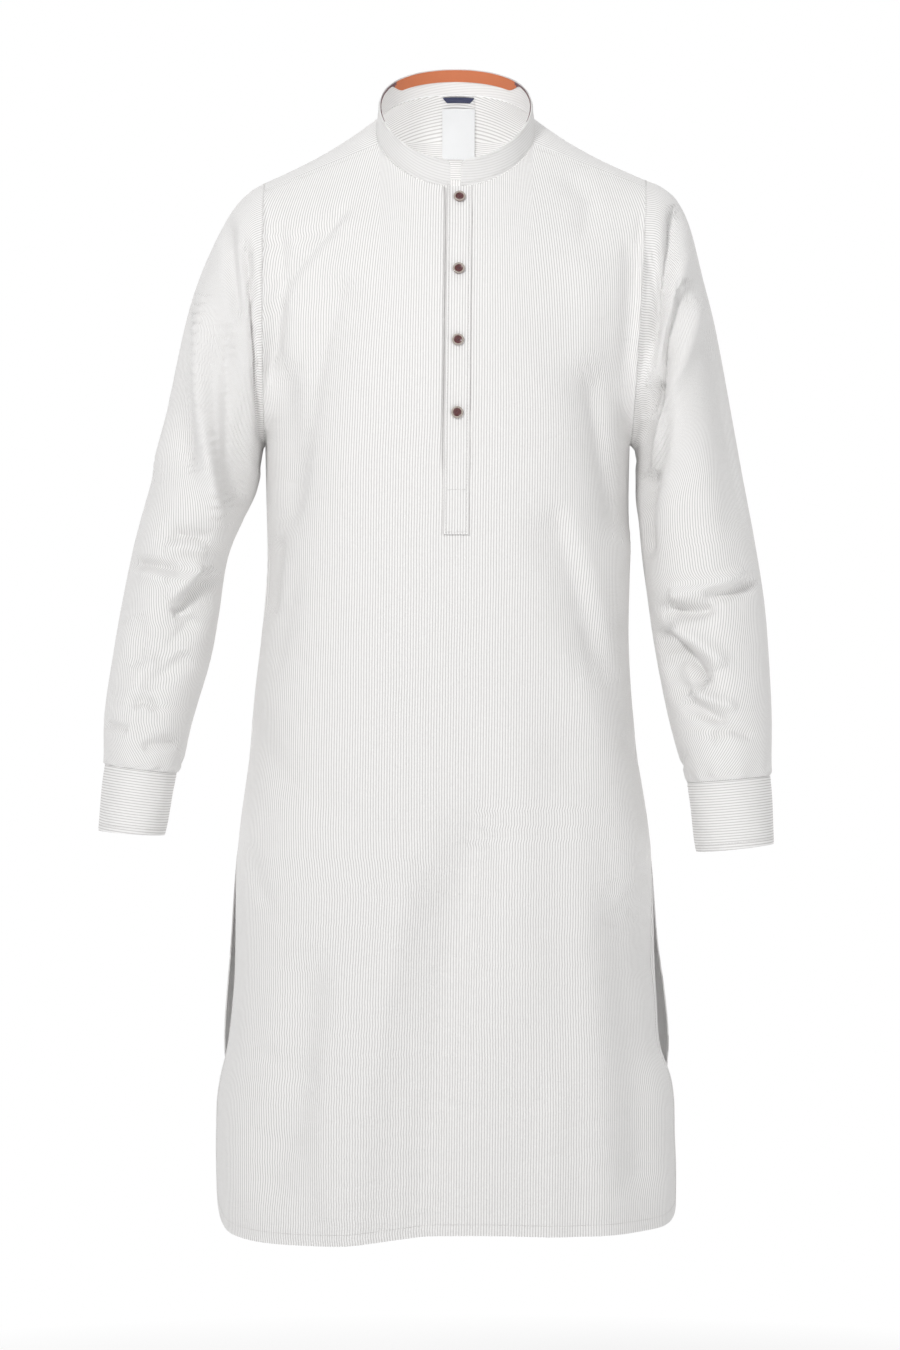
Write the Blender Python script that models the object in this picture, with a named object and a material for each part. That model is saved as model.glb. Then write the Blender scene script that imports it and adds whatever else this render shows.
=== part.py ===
"""Long kurta tunic with a stand collar, filled out with no wearer, in metres.

X runs to the wearer's left, the front faces -Y and Z is up. The origin is the middle
of the shoulders, where the wearer holds the garment up. The tables are in millimetres.
"""

import math
from collections import namedtuple

import bmesh
import bpy
import numpy as np

# Driving sizes of the cloth
MM = 0.001
WALL = 0.0012
CUFF_WALL = 0.0016
SEAM = 0.0003
LIFT = 0.0004
SQUARE = 2.4
CHEST_SQUARE = 1.65

# Levels of the body
PIT_Z = -0.302
HEM_Z = -1.066
PLACKET_END_Z = -0.393
SLIT_END_Z = -0.349
VENT_TOP_Z = -0.700

# Neck opening, an oval that rises to the back
NECK_X = 0.0035
NECK_Y = -0.011
NECK_HALF_WIDTH = 0.078
NECK_HALF_DEPTH = 0.064
NECK_RISE = 0.052
NECK_DIP = -0.0045
NECK_SIDE_ANGLE = math.radians(75)
COLLAR_HEIGHT = 0.026
COLLAR_WALL = 0.0014
COLLAR_GAP_HALF = 0.0052

# Placket, whose middle leans with the grain of the front
PLACKET_TOP_X = 0.0072
PLACKET_LEAN = 0.011
PLACKET_HALF = 0.0125
PLACKET_U = 0.044
SLIT_U = 0.0215
NECK_U = 0.34
LABEL_U = 0.1

# Yoke seams, as angles round the armhole from its top
YOKE_FRONT_ANGLE = math.radians(22)
YOKE_BACK_ANGLE = math.radians(47)
BACK_SEAM_Y = 0.105
BACK_SEAM_Z = -0.030
SHOULDER_NECK_ANGLE = math.radians(118)
LABEL_NECK_ANGLE = 0.21
BLADE_BULGE = 0.007

# The band at the wrist, in steps of a full turn, starts at the back and laps over its start
CUFF_STEPS = 20
CUFF_FIRST_STEP = 14
CUFF_LAP_STEPS = 2
CUFF_RISE_STEP = 16
CUFF_RISE = 1.3 * (CUFF_WALL + LIFT)

# How far one section and one radian of turn are along and round a sleeve, for its folds
SECTION_STEP = 0.045
SLEEVE_RADIUS = 0.062

BUTTON_RADIUS = 0.0057
BUTTON_THICK = 0.0024
FIRST_BUTTON_Z = -0.068
BUTTON_PITCH = 0.070
BUTTON_COUNT = 4
BUTTON_SIDES = 18

Body = namedtuple("Body", "z left right front back")
BODY = [
    Body(-302, -183, 174, -135, 115),
    Body(-356, -182, 173, -134, 110),
    Body(-415, -181, 174, -131, 104),
    Body(-493, -187, 173, -129, 102),
    Body(-552, -194, 176, -128, 106),
    Body(-611, -199, 182, -128, 111),
    Body(-670, -207, 191, -128, 115),
    Body(-729, -213, 197, -129, 118),
    Body(-788, -217, 202, -130, 120),
    Body(-846, -222, 210, -131, 122),
    Body(-905, -225, 214, -132, 123),
    Body(-964, -229, 216, -133, 124),
    Body(-1023, -230, 218, -134, 124),
    Body(-1080, -229, 218, -134, 124),
]

# Below the vents' tops: how far each panel's side edges draw in, and part in depth
Vent = namedtuple("Vent", "z front_left front_right back_left back_right front_gap back_gap")
VENTS = [
    Vent(-1080, 0, 0, 8, 10, 25, 28),
    Vent(-1000, 0, 0, 6, 8, 25, 25),
    Vent(-920, 1, 2, 3, 3, 22, 22),
    Vent(-890, 5, 10, 0, 0, 20, 20),
    Vent(-840, 8, 10, 0, 0, 18, 15),
    Vent(-780, 5, 4, 0, 0, 11, 8),
    Vent(-700, 0, 0, 0, 0, 0, 0),
]

# Centre depth of the chest and the shoulder blades, from the armpits' level (0) to the top (1)
Chest = namedtuple("Chest", "level front back")
CHEST = [
    Chest(0.0, -135, 115),
    Chest(0.33, -132, 124),
    Chest(0.66, -113, 122),
    Chest(1.0, -75, 105),
]

# Hem height by place across the front, and the rounding of its corners
Hem = namedtuple("Hem", "across z")
FRONT_HEM = [
    Hem(-1.0, -1055), Hem(-0.75, -1068), Hem(-0.4, -1072), Hem(0.0, -1061),
    Hem(0.4, -1063), Hem(0.75, -1061), Hem(1.0, -1055),
]
BACK_HEM = [Hem(-1.0, -1052), Hem(-0.6, -1060), Hem(0.0, -1062), Hem(0.6, -1060), Hem(1.0, -1052)]
CORNER_LEFT, CORNER_RIGHT = 0.035, 0.014
CORNER_START = 0.78

# Sleeve sections from the armhole to the cuff: the ends of each section as the front shows
# it, half its depth, and how far its middle hangs forward
Section = namedtuple("Section", "top_x top_z under_x under_z depth forward")
SLEEVE_RIGHT = [
    Section(-183, -45, -183, -302, 75, 0),
    Section(-198, -54, -185, -306, 78, 0),
    Section(-214, -71, -186, -311, 80, 0),
    Section(-231, -101, -187, -317, 81, 0),
    Section(-248, -140, -188, -324, 80, 0),
    Section(-260, -179, -188, -332, 78, 0),
    Section(-269, -219, -190, -341, 76, 0),
    Section(-277, -258, -193, -351, 74, -1),
    Section(-285, -297, -198, -362, 72, -2),
    Section(-294, -336, -205, -376, 70, -3),
    Section(-310, -395, -219, -411, 67, -6),
    Section(-322, -454, -228, -468, 64, -12),
    Section(-330, -503, -236, -513, 61, -20),
    Section(-338, -562, -253, -573, 57, -33),
    Section(-338, -603, -261, -611, 52, -42),
    Section(-337, -613, -267, -622, 47, -46),
]
SLEEVE_LEFT = [
    Section(189, -42, 175, -302, 75, 0),
    Section(205, -49, 179, -307, 78, 0),
    Section(220, -62, 180, -312, 80, 0),
    Section(233, -89, 181, -318, 81, 0),
    Section(246, -140, 180, -325, 80, 0),
    Section(256, -179, 180, -333, 78, 0),
    Section(264, -219, 180, -342, 76, 0),
    Section(271, -258, 180, -352, 74, -1),
    Section(278, -297, 181, -363, 73, -2),
    Section(285, -336, 183, -377, 72, -3),
    Section(296, -395, 186, -410, 70, -5),
    Section(305, -454, 192, -460, 67, -11),
    Section(309, -508, 200, -513, 64, -19),
    Section(311, -566, 211, -570, 59, -32),
    Section(310, -607, 222, -612, 53, -42),
    Section(309, -624, 228, -631, 47, -45),
]
CUFF_END_RIGHT = Section(-343, -677, -278, -682, 44, -54)
CUFF_END_LEFT = Section(312, -690, 236, -698, 45, -54)

# Largest folds: a soft trough (depth below 0) or ridge from one end to the other,
# drawn through a middle point, with its reach to each side
Fold = namedtuple("Fold", "x1 z1 x2 z2 x3 z3 reach depth")
FRONT_FOLDS = [
    Fold(20, -640, -42, -830, -88, -1066, 34, -9),
    Fold(-105, -780, -108, -930, -104, -1066, 26, 5),
    Fold(-16, -860, -30, -960, -32, -1066, 26, 4),
    Fold(-138, -790, -142, -890, -172, -1010, 22, -5),
    Fold(118, -500, 150, -640, 176, -770, 24, 5),
    Fold(148, -720, 158, -860, 160, -1000, 24, -6),
    Fold(128, -215, 148, -318, 168, -400, 22, -5),
    Fold(86, -370, 118, -450, 150, -540, 22, -4),
    Fold(-108, -90, -136, -125, -168, -160, 20, -4),
    Fold(-100, -140, -132, -240, -158, -400, 26, -4),
]
BACK_FOLDS = [
    Fold(-20, -560, 30, -760, 70, -1062, 36, -8),
    Fold(96, -700, 108, -880, 112, -1062, 28, 5),
    Fold(-90, -640, -104, -840, -110, -1062, 32, -6),
    Fold(-120, -220, -100, -330, -60, -430, 26, -5),
    Fold(120, -200, 104, -320, 66, -420, 26, -5),
]

# Sleeve folds: section number and degrees round from the outer edge, by way of the front
Crease = namedtuple("Crease", "section1 angle1 section2 angle2 reach depth")
CREASES_RIGHT = [
    Crease(2.5, 120, 8.0, 150, 16, -5),
    Crease(9.6, 60, 10.6, 140, 15, -4),
    Crease(10.6, 150, 12.2, 50, 15, -5),
    Crease(10.4, 200, 12.0, 300, 16, -5),
    Crease(12.8, 20, 13.0, 110, 13, -3),
]
CREASES_LEFT = [
    Crease(1.5, 70, 6.5, 140, 18, -6),
    Crease(4.0, 95, 8.5, 150, 18, -6),
    Crease(10.6, 40, 11.3, 160, 15, -4),
    Crease(11.6, 160, 12.8, 80, 15, -5),
    Crease(10.8, 200, 12.2, 310, 16, -5),
]

# Colours as linear RGB, with roughness
COTTON = ((0.79, 0.78, 0.765), 0.85)
ORANGE = ((0.60, 0.16, 0.06), 0.75)
NAVY = ((0.045, 0.05, 0.10), 0.7)
LABEL_WHITE = ((0.84, 0.85, 0.86), 0.55)
MAROON = ((0.13, 0.035, 0.035), 0.35)


def column(rows, name, scale=MM):
    """One named column of a table, in metres."""
    return np.array([getattr(row, name) for row in rows], float) * scale


def smooth(at, known, values):
    """Cubic curve through the values, with slopes taken from their neighbours."""
    order = np.argsort(known)
    known, values = known[order], values[order]
    slopes = np.gradient(values, known)
    at = np.clip(at, known[0], known[-1])
    i = np.clip(np.searchsorted(known, at) - 1, 0, len(known) - 2)
    width = known[i + 1] - known[i]
    t = (at - known[i]) / width
    rise = (2 * t**3 - 3 * t**2 + 1) * values[i] + (3 * t**2 - 2 * t**3) * values[i + 1]
    lean = (t**3 - 2 * t**2 + t) * slopes[i] + (t**3 - t**2) * slopes[i + 1]
    return rise + lean * width


def ease(t):
    """Soft step from 0 to 1."""
    t = np.clip(t, 0.0, 1.0)
    return t * t * (3 - 2 * t)


def unit(v):
    """Vectors scaled to length 1."""
    v = np.asarray(v, float)
    return v / np.linalg.norm(v, axis=-1, keepdims=True)


def sleeve_points(rows, s, angle):
    """Points of a sleeve at section number s; angle 0 is the outer edge, 90 degrees the front."""
    number = np.arange(len(rows), dtype=float)
    top = np.array([smooth(s, number, column(rows, n)) for n in ("top_x", "top_z")])
    under = np.array([smooth(s, number, column(rows, n)) for n in ("under_x", "under_z")])
    depth = smooth(s, number, column(rows, "depth"))
    forward = smooth(s, number, column(rows, "forward"))
    middle, half = (top + under) / 2, (top - under) / 2
    x = middle[0] + np.cos(angle) * half[0]
    z = middle[1] + np.cos(angle) * half[1]
    return np.stack([x, forward - np.sin(angle) * depth, z], -1)


def sleeve_rows(side):
    """The sections of the sleeve on one side."""
    return SLEEVE_RIGHT if side < 0 else SLEEVE_LEFT


def armhole(side, angle):
    """The armhole's loop: side -1 is the wearer's right; angle 0 is its top, 90 degrees its front."""
    return sleeve_points(sleeve_rows(side), 0.0, np.asarray(angle, float))


def armhole_inward(side, angle):
    """Unit direction from the armhole's loop to its inside, at right angles to the loop."""
    rows = sleeve_rows(side)
    half = (rows[0].top_z - rows[0].under_z) / 2
    angle = np.asarray(angle, float)
    return unit(np.stack([0 * angle, np.sin(angle) / rows[0].depth, -np.cos(angle) / half], -1))


def neck_point(angle):
    """The neck seam: angle 0 is the front, and it grows to the wearer's left."""
    x = NECK_X + NECK_HALF_WIDTH * np.sin(angle)
    y = NECK_Y - NECK_HALF_DEPTH * np.cos(angle)
    z = 0.0005 - NECK_RISE * np.cos(angle) + NECK_DIP * np.cos(2 * angle)
    return np.stack([x, y, z], -1)


def centre_x(z):
    """Middle line of the placket at a height."""
    return PLACKET_TOP_X + PLACKET_LEAN * (z - FIRST_BUTTON_Z)


def fold_height(x, z, folds):
    """Sum of the folds' heights at points of the body."""
    height = np.zeros(np.broadcast(x, z).shape)
    t = np.linspace(0, 1, 25)
    for fold in folds:
        bend_x = 2 * fold.x2 - (fold.x1 + fold.x3) / 2
        bend_z = 2 * fold.z2 - (fold.z1 + fold.z3) / 2
        px = ((1 - t) ** 2 * fold.x1 + 2 * t * (1 - t) * bend_x + t**2 * fold.x3) * MM
        pz = ((1 - t) ** 2 * fold.z1 + 2 * t * (1 - t) * bend_z + t**2 * fold.z3) * MM
        gap = (np.asarray(x)[..., None] - px) ** 2 + (np.asarray(z)[..., None] - pz) ** 2
        nearest = gap.argmin(-1)
        along = t[nearest]
        fade = ease(along / 0.25 + 0.25) * (ease((1 - along) / 0.25 + 0.25) if fold.z3 > -1000 else 1)
        height += fold.depth * MM * fade * np.exp(-gap.min(-1) / (fold.reach * MM) ** 2)
    return height


def back_seam(across):
    """The yoke's back seam from the wearer's right armhole (-1) to the left (1)."""
    right, left = armhole(-1, -YOKE_BACK_ANGLE), armhole(1, -YOKE_BACK_ANGLE)
    across = np.asarray(across, float)
    ends = right + (left - right) * ((across + 1) / 2)[..., None]
    belly = (1 - np.abs(across) ** SQUARE) ** (1 / SQUARE)
    y = ends[..., 1] + (BACK_SEAM_Y - ends[..., 1]) * belly
    z = ends[..., 2] + (BACK_SEAM_Z - ends[..., 2]) * (1 - np.abs(across) ** 1.7)
    return np.stack([ends[..., 0], y, z], -1)


def front_top(u):
    """Top edge of the front: shoulder seams outside, and the neck seam between them."""
    side_angle = NECK_SIDE_ANGLE
    marks = [-NECK_U, -PLACKET_U, 0, PLACKET_U, NECK_U]
    middle = centre_x(-0.056)
    offsets = np.array([middle - PLACKET_HALF, middle, middle + PLACKET_HALF]) - NECK_X
    angles = np.arcsin(offsets / NECK_HALF_WIDTH)
    angle = np.interp(u, marks, [-side_angle, *angles, side_angle])
    points = neck_point(angle)
    for side in (-1, 1):
        start = neck_point(side * side_angle)
        end = armhole(side, YOKE_FRONT_ANGLE)
        share = (side * u - NECK_U) / (1 - NECK_U)
        seam = start + (end - start) * share[:, None]
        points = np.where((side * u > NECK_U)[:, None], seam, points)
    return points


def back_columns():
    """Places across the back panel and the yoke's back seam, with the label's width between."""
    half = np.linspace(LABEL_U, 1, 10)
    return np.concatenate([-half[::-1], half])


def hem_height(u, rows):
    """Height of a hem across its panel, with its corners rounded."""
    z = smooth(u, column(rows, "across", 1.0), column(rows, "z"))
    t = np.clip((np.abs(u) - CORNER_START) / (1 - CORNER_START), 0, 1)
    return z + np.where(u < 0, CORNER_LEFT, CORNER_RIGHT) * (1 - np.sqrt(1 - 0.98 * t * t))


def plain_row(u, level, front):
    """A body panel's row from side to side at a level, before it is drawn to the top edge."""
    sign = -1 if front else 1
    panel = "front" if front else "back"
    top = front_top(u) if front else back_seam(u)
    if level <= 0:
        flat_z = PIT_Z + level * (PIT_Z - HEM_Z)
        hem = hem_height(u, FRONT_HEM if front else BACK_HEM)
        z = flat_z + (hem - HEM_Z) * ease((-level - 0.75) / 0.25)
        known = column(BODY, "z")
        left = smooth(flat_z, known, column(BODY, "left"))
        right = smooth(flat_z, known, column(BODY, "right"))
        depth = abs(smooth(flat_z, known, column(BODY, panel)))
        edge = SEAM / 2
        if flat_z < VENT_TOP_Z:
            where = column(VENTS, "z")
            left += smooth(flat_z, where, column(VENTS, panel + "_left"))
            right -= smooth(flat_z, where, column(VENTS, panel + "_right"))
            edge += max(0.0, smooth(flat_z, where, column(VENTS, panel + "_gap")))
    else:
        seam_angle = YOKE_FRONT_ANGLE if front else YOKE_BACK_ANGLE
        angle = math.pi + (seam_angle - math.pi) * level
        ends = [armhole(side, -sign * angle) for side in (-1, 1)]
        left, right = ends[0][0] + SEAM / 2, ends[1][0] - SEAM / 2
        depth = abs(smooth(level, column(CHEST, "level", 1.0), column(CHEST, panel)))
        edge = max(SEAM / 2, abs(ends[0][1]))
        rise = [(end[2] - PIT_Z) / (t[2] - PIT_Z) for end, t in zip(ends, (top[0], top[-1]))]
        share = np.where(u < 0, rise[0], rise[1])
        z = PIT_Z + (top[:, 2] - PIT_Z) * (level + (share - level) * np.abs(u) ** 6)
        flat_z = PIT_Z + level * (-0.056 - PIT_Z)
    square = SQUARE + (CHEST_SQUARE - SQUARE) * ease(level / 0.45)
    reach = edge / depth
    grow = (1 - reach**square) ** (1 / square)
    end_angle = math.atan2(grow, reach)
    middle = centre_x(flat_z) if front else (left + right) / 2
    half = np.where(u < 0, middle - left, right - middle) / grow
    if front:
        narrow = PLACKET_HALF / (half * end_angle * PLACKET_U)
        u = u * (1 + (narrow - 1) * (1 - np.abs(u)) ** 4)
    angle = u * end_angle
    sine, cosine = np.sin(angle), np.cos(angle)
    round_out = (np.abs(sine) ** square + np.abs(cosine) ** square) ** (-1 / square)
    x = middle + half * sine * round_out
    y = sign * depth * cosine * round_out
    return np.stack([x, y, z], -1)


def body_row(u, level, front):
    """One row of a body panel: level -1 is the hem, 0 the armpits and 1 the top edge."""
    points = plain_row(u, level, front)
    if level > 0:
        top = front_top(u) if front else back_seam(u)
        points[:, :2] += (top - plain_row(u, 1.0, front))[:, :2] * level**3
    return points


def body_grid(u, levels, front):
    """Points of a body panel with its folds pressed in, none of them at a seam."""
    grid = np.array([body_row(u, level, front) for level in levels])
    folds = FRONT_FOLDS if front else BACK_FOLDS
    height = fold_height(grid[..., 0], grid[..., 2], folds)
    free = ease((1 - np.abs(u)) / 0.12)[None, :] * ease((1 - np.array(levels)) / 0.12)[:, None]
    if front:
        free = free * ease((np.abs(u) - PLACKET_U) / 0.1)[None, :] ** (
            np.array(levels)[:, None] > -0.16
        )
    return grid + outward(grid) * (height * free)[..., None]


def outward(grid, wrap=False):
    """Unit normals of a grid, pointing away from its own middle line."""
    if wrap:
        across = np.roll(grid, -1, 1) - np.roll(grid, 1, 1)
    else:
        across = np.gradient(grid, axis=1)
    normal = unit(np.cross(across, np.gradient(grid, axis=0)))
    middle = grid.mean(axis=1, keepdims=True) * [1, 0, 1]
    if wrap:
        middle = grid.mean(axis=1, keepdims=True)
    if np.sum(normal * (grid - middle)) < 0:
        normal = -normal
    return normal


def material(name, finish):
    """A plain finish, made once for each slot."""
    made = bpy.data.materials.get(name)
    if made is None:
        made = bpy.data.materials.new(name)
        made.use_nodes = True
        shader = made.node_tree.nodes["Principled BSDF"]
        colour, roughness = finish
        shader.inputs["Base Color"].default_value = (*colour, 1)
        shader.inputs["Roughness"].default_value = roughness
        shader.inputs["Metallic"].default_value = 0
        made.diffuse_color = (*colour, 1)
    return made


def add_object(name, points, faces, slot, finish):
    """A closed mesh as an object, its faces turned outward and shaded smooth."""
    mesh = bpy.data.meshes.new(name)
    mesh.from_pydata([tuple(map(float, p)) for p in points], [], faces)
    work = bmesh.new()
    work.from_mesh(mesh)
    bmesh.ops.delete(work, geom=[v for v in work.verts if not v.link_faces], context="VERTS")
    bmesh.ops.recalc_face_normals(work, faces=work.faces)
    work.to_mesh(mesh)
    work.free()
    mesh.shade_smooth()
    mesh.set_sharp_from_angle(angle=math.radians(50))
    mesh.materials.append(material(slot, finish))
    made = bpy.data.objects.new(name, mesh)
    bpy.context.scene.collection.objects.link(made)
    return made


def add_wall(name, outer, inner, slot, finish, keep=None, wrap=False):
    """A wall between two grids of points, with a rim round every free edge."""
    rows, columns = outer.shape[:2]
    cells_across = columns if wrap else columns - 1
    if keep is None:
        keep = np.ones((rows - 1, cells_across), bool)
    points = np.concatenate([outer.reshape(-1, 3), inner.reshape(-1, 3)])
    below = rows * columns
    faces, edges = [], {}
    for i in range(rows - 1):
        for j in range(cells_across):
            if not keep[i, j]:
                continue
            k = (j + 1) % columns
            corner = [i * columns + j, i * columns + k, (i + 1) * columns + k, (i + 1) * columns + j]
            a, b, c, d = corner
            for triangle in ((a, b, c), (a, c, d)):
                faces.append(triangle)
                faces.append(tuple(below + v for v in reversed(triangle)))
            for start, end in zip(corner, corner[1:] + corner[:1]):
                if (end, start) in edges:
                    del edges[end, start]
                else:
                    edges[start, end] = True
    for start, end in edges:
        faces.append((end, start, below + start))
        faces.append((end, below + start, below + end))
    return add_object(name, points, faces, slot, finish)


def panel_inward(grid, levels, front):
    """Directions in which a panel's wall is thick, the same for both pieces at a seam."""
    inward = -outward(grid)
    for i, level in enumerate(levels):
        if VENT_TOP_Z <= grid[i, 0, 2] and level <= 0:
            inward[i, 0], inward[i, -1] = (1, 0, 0), (-1, 0, 0)
        if level > 0:
            seam_angle = YOKE_FRONT_ANGLE if front else YOKE_BACK_ANGLE
            angle = math.pi + (seam_angle - math.pi) * level
            loop = armhole_inward(-1, angle if front else -angle)
            under = max(0.0, -math.cos(angle)) ** 4
            for j, side in ((0, 1), (-1, -1)):
                inward[i, j] = unit((1 - under) * loop + under * np.array([side, 0, 0]))
    return inward


FRONT_SEAM_IN = unit([0, 0.57, -0.82])
FRONT_SEAM_DOWN = unit([0, -0.82, -0.57])
BACK_SEAM_IN = unit([0, -0.88, -0.48])
BACK_SEAM_DOWN = unit([0, 0.48, -0.88])


def front_columns():
    """Places across the front: the slit's sides, the placket's, the neck's and the shoulders'."""
    neck = np.linspace(PLACKET_U, NECK_U, 5)
    side = np.linspace(NECK_U, 1, 9)[1:]
    half = np.concatenate([[SLIT_U], neck, side])
    return np.concatenate([-half[::-1], half])


def front_levels():
    """Rows of the front, with one at the slit's end and one at the placket's end."""
    reach = PIT_Z - HEM_Z
    slit_end = -(PIT_Z - SLIT_END_Z) / reach
    placket_end = -(PIT_Z - PLACKET_END_Z) / reach
    skirt = np.linspace(-1, placket_end, 22)
    return np.concatenate([
        skirt,
        [(placket_end + slit_end) / 2, slit_end, slit_end / 2],
        np.linspace(0, 1, 9),
    ])


def build_front():
    """The front, open behind the placket, and the placket's two strips."""
    u, levels = front_columns(), front_levels()
    grid = body_grid(u, levels, True)
    inward = panel_inward(grid, levels, True)
    shoulder = np.abs(u) >= NECK_U - 1e-6
    grid[-1, shoulder] += FRONT_SEAM_DOWN * SEAM / 2
    inward[-1, shoulder] = FRONT_SEAM_IN
    inner = grid + inward * WALL
    first = int(np.argmin(np.abs(u + PLACKET_U)))
    strip = slice(first, first + 4)
    slit_row = int(np.argmin(np.abs(levels + (PIT_Z - SLIT_END_Z) / (PIT_Z - HEM_Z))))
    end_row = slit_row - 2
    keep = np.ones((len(levels) - 1, len(u) - 1), bool)
    keep[slit_row:, first + 1] = False
    add_wall("front_panel", grid, inner, "cotton", COTTON, keep)
    lifted = grid[end_row:, strip] - inward[end_row:, strip] * LIFT
    placket = lifted - inward[end_row:, strip] * WALL
    add_wall("placket_top", placket, lifted, "cotton", COTTON)
    behind = inner[end_row:, strip] + inward[end_row:, strip] * LIFT
    add_wall("placket_under", behind, behind + inward[end_row:, strip] * WALL, "cotton", COTTON)
    return placket, -inward[end_row:, strip]


def build_back():
    """The back, up to the yoke's seam."""
    u = back_columns()
    levels = np.concatenate([np.linspace(-1, 0, 20), np.linspace(0, 1, 8)[1:]])
    grid = body_grid(u, levels, False)
    inward = panel_inward(grid, levels, False)
    grid[-1] += BACK_SEAM_DOWN * SEAM / 2
    inward[-1] = BACK_SEAM_IN
    add_wall("back_panel", grid, grid + inward * WALL, "cotton", COTTON)


def yoke_grids():
    """Neck edge to outer edge, from the front seam on the wearer's right round the back."""
    over = np.linspace(0, 1, 6)
    across = back_columns()
    right = -NECK_SIDE_ANGLE - over * (SHOULDER_NECK_ANGLE - NECK_SIDE_ANGLE)
    marks = [
        -SHOULDER_NECK_ANGLE,
        -math.pi + LABEL_NECK_ANGLE,
        -math.pi - LABEL_NECK_ANGLE,
        -2 * math.pi + SHOULDER_NECK_ANGLE,
    ]
    back = np.interp(across, [-1, -LABEL_U, LABEL_U, 1], marks)
    left = -2 * math.pi - right[::-1]
    neck_angle = np.concatenate([right, back[1:-1], left])
    arc = YOKE_FRONT_ANGLE - over * (YOKE_FRONT_ANGLE + YOKE_BACK_ANGLE)
    shift = np.array([SEAM / 2, 0, 0])
    outer = np.concatenate([
        armhole(-1, arc) + shift,
        back_seam(across[1:-1]),
        armhole(1, arc[::-1]) - shift,
    ])
    count = len(over)
    outer[count - 1 : -count + 1] -= BACK_SEAM_DOWN * SEAM / 2
    inward = np.concatenate([
        armhole_inward(-1, arc),
        np.repeat(BACK_SEAM_IN[None], len(across) - 2, 0),
        armhole_inward(1, arc[::-1]),
    ])
    return neck_point(neck_angle), outer, inward, count


def build_yoke():
    """The yoke over both shoulders, with the hang loop and the label inside it."""
    neck, outer, edge_inward, count = yoke_grids()
    t = np.linspace(0, 1, 6)[:, None, None]
    grid = neck[None] * (1 - t) + outer[None] * t
    normal = outward(grid)
    normal[:, :, 2] = np.where(normal[:, :, 2] < 0, -normal[:, :, 2], normal[:, :, 2])
    place = np.arange(grid.shape[1])
    back = ease((place - 1) / count) * ease((place[-1] - 1 - place) / count)
    grid = grid + normal * BLADE_BULGE * np.sin(np.pi * t) * back[None, :, None]
    inward = -outward(grid)
    inward = np.where((inward[:, :, 2:] > 0), -inward, inward)
    inward[-1] = edge_inward
    for j in (0, -1):
        inward[:, j] = FRONT_SEAM_IN
        grid[:, j] -= FRONT_SEAM_DOWN * SEAM / 2
    inner = grid + inward * WALL
    add_wall("yoke", grid, inner, "cotton", COTTON)
    middle = grid.shape[1] // 2
    strip = slice(middle - 1, middle + 1)
    lifted = inner[:, strip] + inward[:, strip] * LIFT
    tape = lifted + inward[:, strip] * WALL

    def between(block, row, share):
        """A row at a share of the way from one row to the next."""
        return block[row : row + 1] * (1 - share) + block[row + 1 : row + 2] * share

    loop = [np.concatenate([between(b, 0, 0.08), between(b, 0, 0.42)]) for b in (lifted, tape)]
    add_wall("hang_loop", loop[0], loop[1], "loop", NAVY)
    label = [np.concatenate([between(b, 0, 0.8), b[2:4], between(b, 3, 0.9)]) for b in (lifted, tape)]
    add_wall("neck_label", label[0], label[1], "label", LABEL_WHITE)


def build_collar():
    """The stand collar, open at the front, and the strip inside its upper edge."""
    gap = math.asin(COLLAR_GAP_HALF / NECK_HALF_WIDTH)
    angle = np.linspace(gap, 2 * math.pi - gap, 33)
    base = neck_point(angle)
    radial = unit(np.stack([-np.sin(angle), np.cos(angle), 0 * angle], -1))
    stand = unit(0.12 * radial + np.array([0, -0.18, 1]))
    heights = np.array([0.03, 0.48, 0.95, 1.0]) * COLLAR_HEIGHT
    grid = base[None] + stand[None] * heights[:, None, None]
    inner = grid + radial * COLLAR_WALL
    add_wall("collar_band", grid, inner, "cotton", COTTON)
    strip = (slice(1, 3), slice(6, -6))
    lifted = inner[strip] + radial[6:-6] * LIFT
    add_wall("collar_facing", lifted, lifted + radial[6:-6] * WALL, "facing", ORANGE)


def crease_height(s, angle, creases):
    """Folds of a sleeve as heights, measured by their distance along it and round it."""
    height = np.zeros(np.broadcast(s, angle).shape)
    for crease in creases:
        t = np.linspace(0, 1, 15)
        along = crease.section1 + (crease.section2 - crease.section1) * t
        turn = np.radians(crease.angle1 + (crease.angle2 - crease.angle1) * t)
        down = (np.asarray(s)[..., None] - along) * SECTION_STEP
        around = np.angle(np.exp(1j * (np.asarray(angle)[..., None] - turn))) * SLEEVE_RADIUS
        gap = down**2 + around**2
        fade = np.sin(math.pi * (0.1 + 0.8 * t[gap.argmin(-1)]))
        height += crease.depth * MM * fade * np.exp(-gap.min(-1) / (crease.reach * MM) ** 2)
    return height


def build_sleeve(name, side, creases, cuff_end):
    """A sleeve, the strip sewn above its cuff at the back, its cuff and the cuff's button."""
    rows = sleeve_rows(side)
    last = len(rows) - 1
    s = np.concatenate([np.arange(0, 10, 1.0), np.linspace(10, last, 12)])
    angle = np.linspace(0, 2 * math.pi, 17)[:-1]
    grid = np.array([sleeve_points(rows, v, angle) for v in s])
    height = crease_height(s[:, None], angle[None, :], creases)
    height = height * (ease(s / 1.5) * ease((last - s) / 1.0))[:, None]
    normal = outward(grid, wrap=True)
    grid = grid + normal * height[..., None]
    grid[0, :, 0] += side * SEAM / 2
    inward = -outward(grid, wrap=True)
    inward[0] = armhole_inward(side, angle)
    inner = grid + inward * WALL
    add_wall("sleeve_" + name, grid, inner, "cotton", COTTON, wrap=True)
    strip = (slice(len(s) - 8, len(s) - 1), slice(12, 14))
    lifted = grid[strip] - inward[strip] * LIFT
    add_wall("sleeve_placket_" + name, lifted - inward[strip] * WALL, lifted, "cotton", COTTON)
    build_cuff(name, [rows[last], cuff_end])


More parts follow.
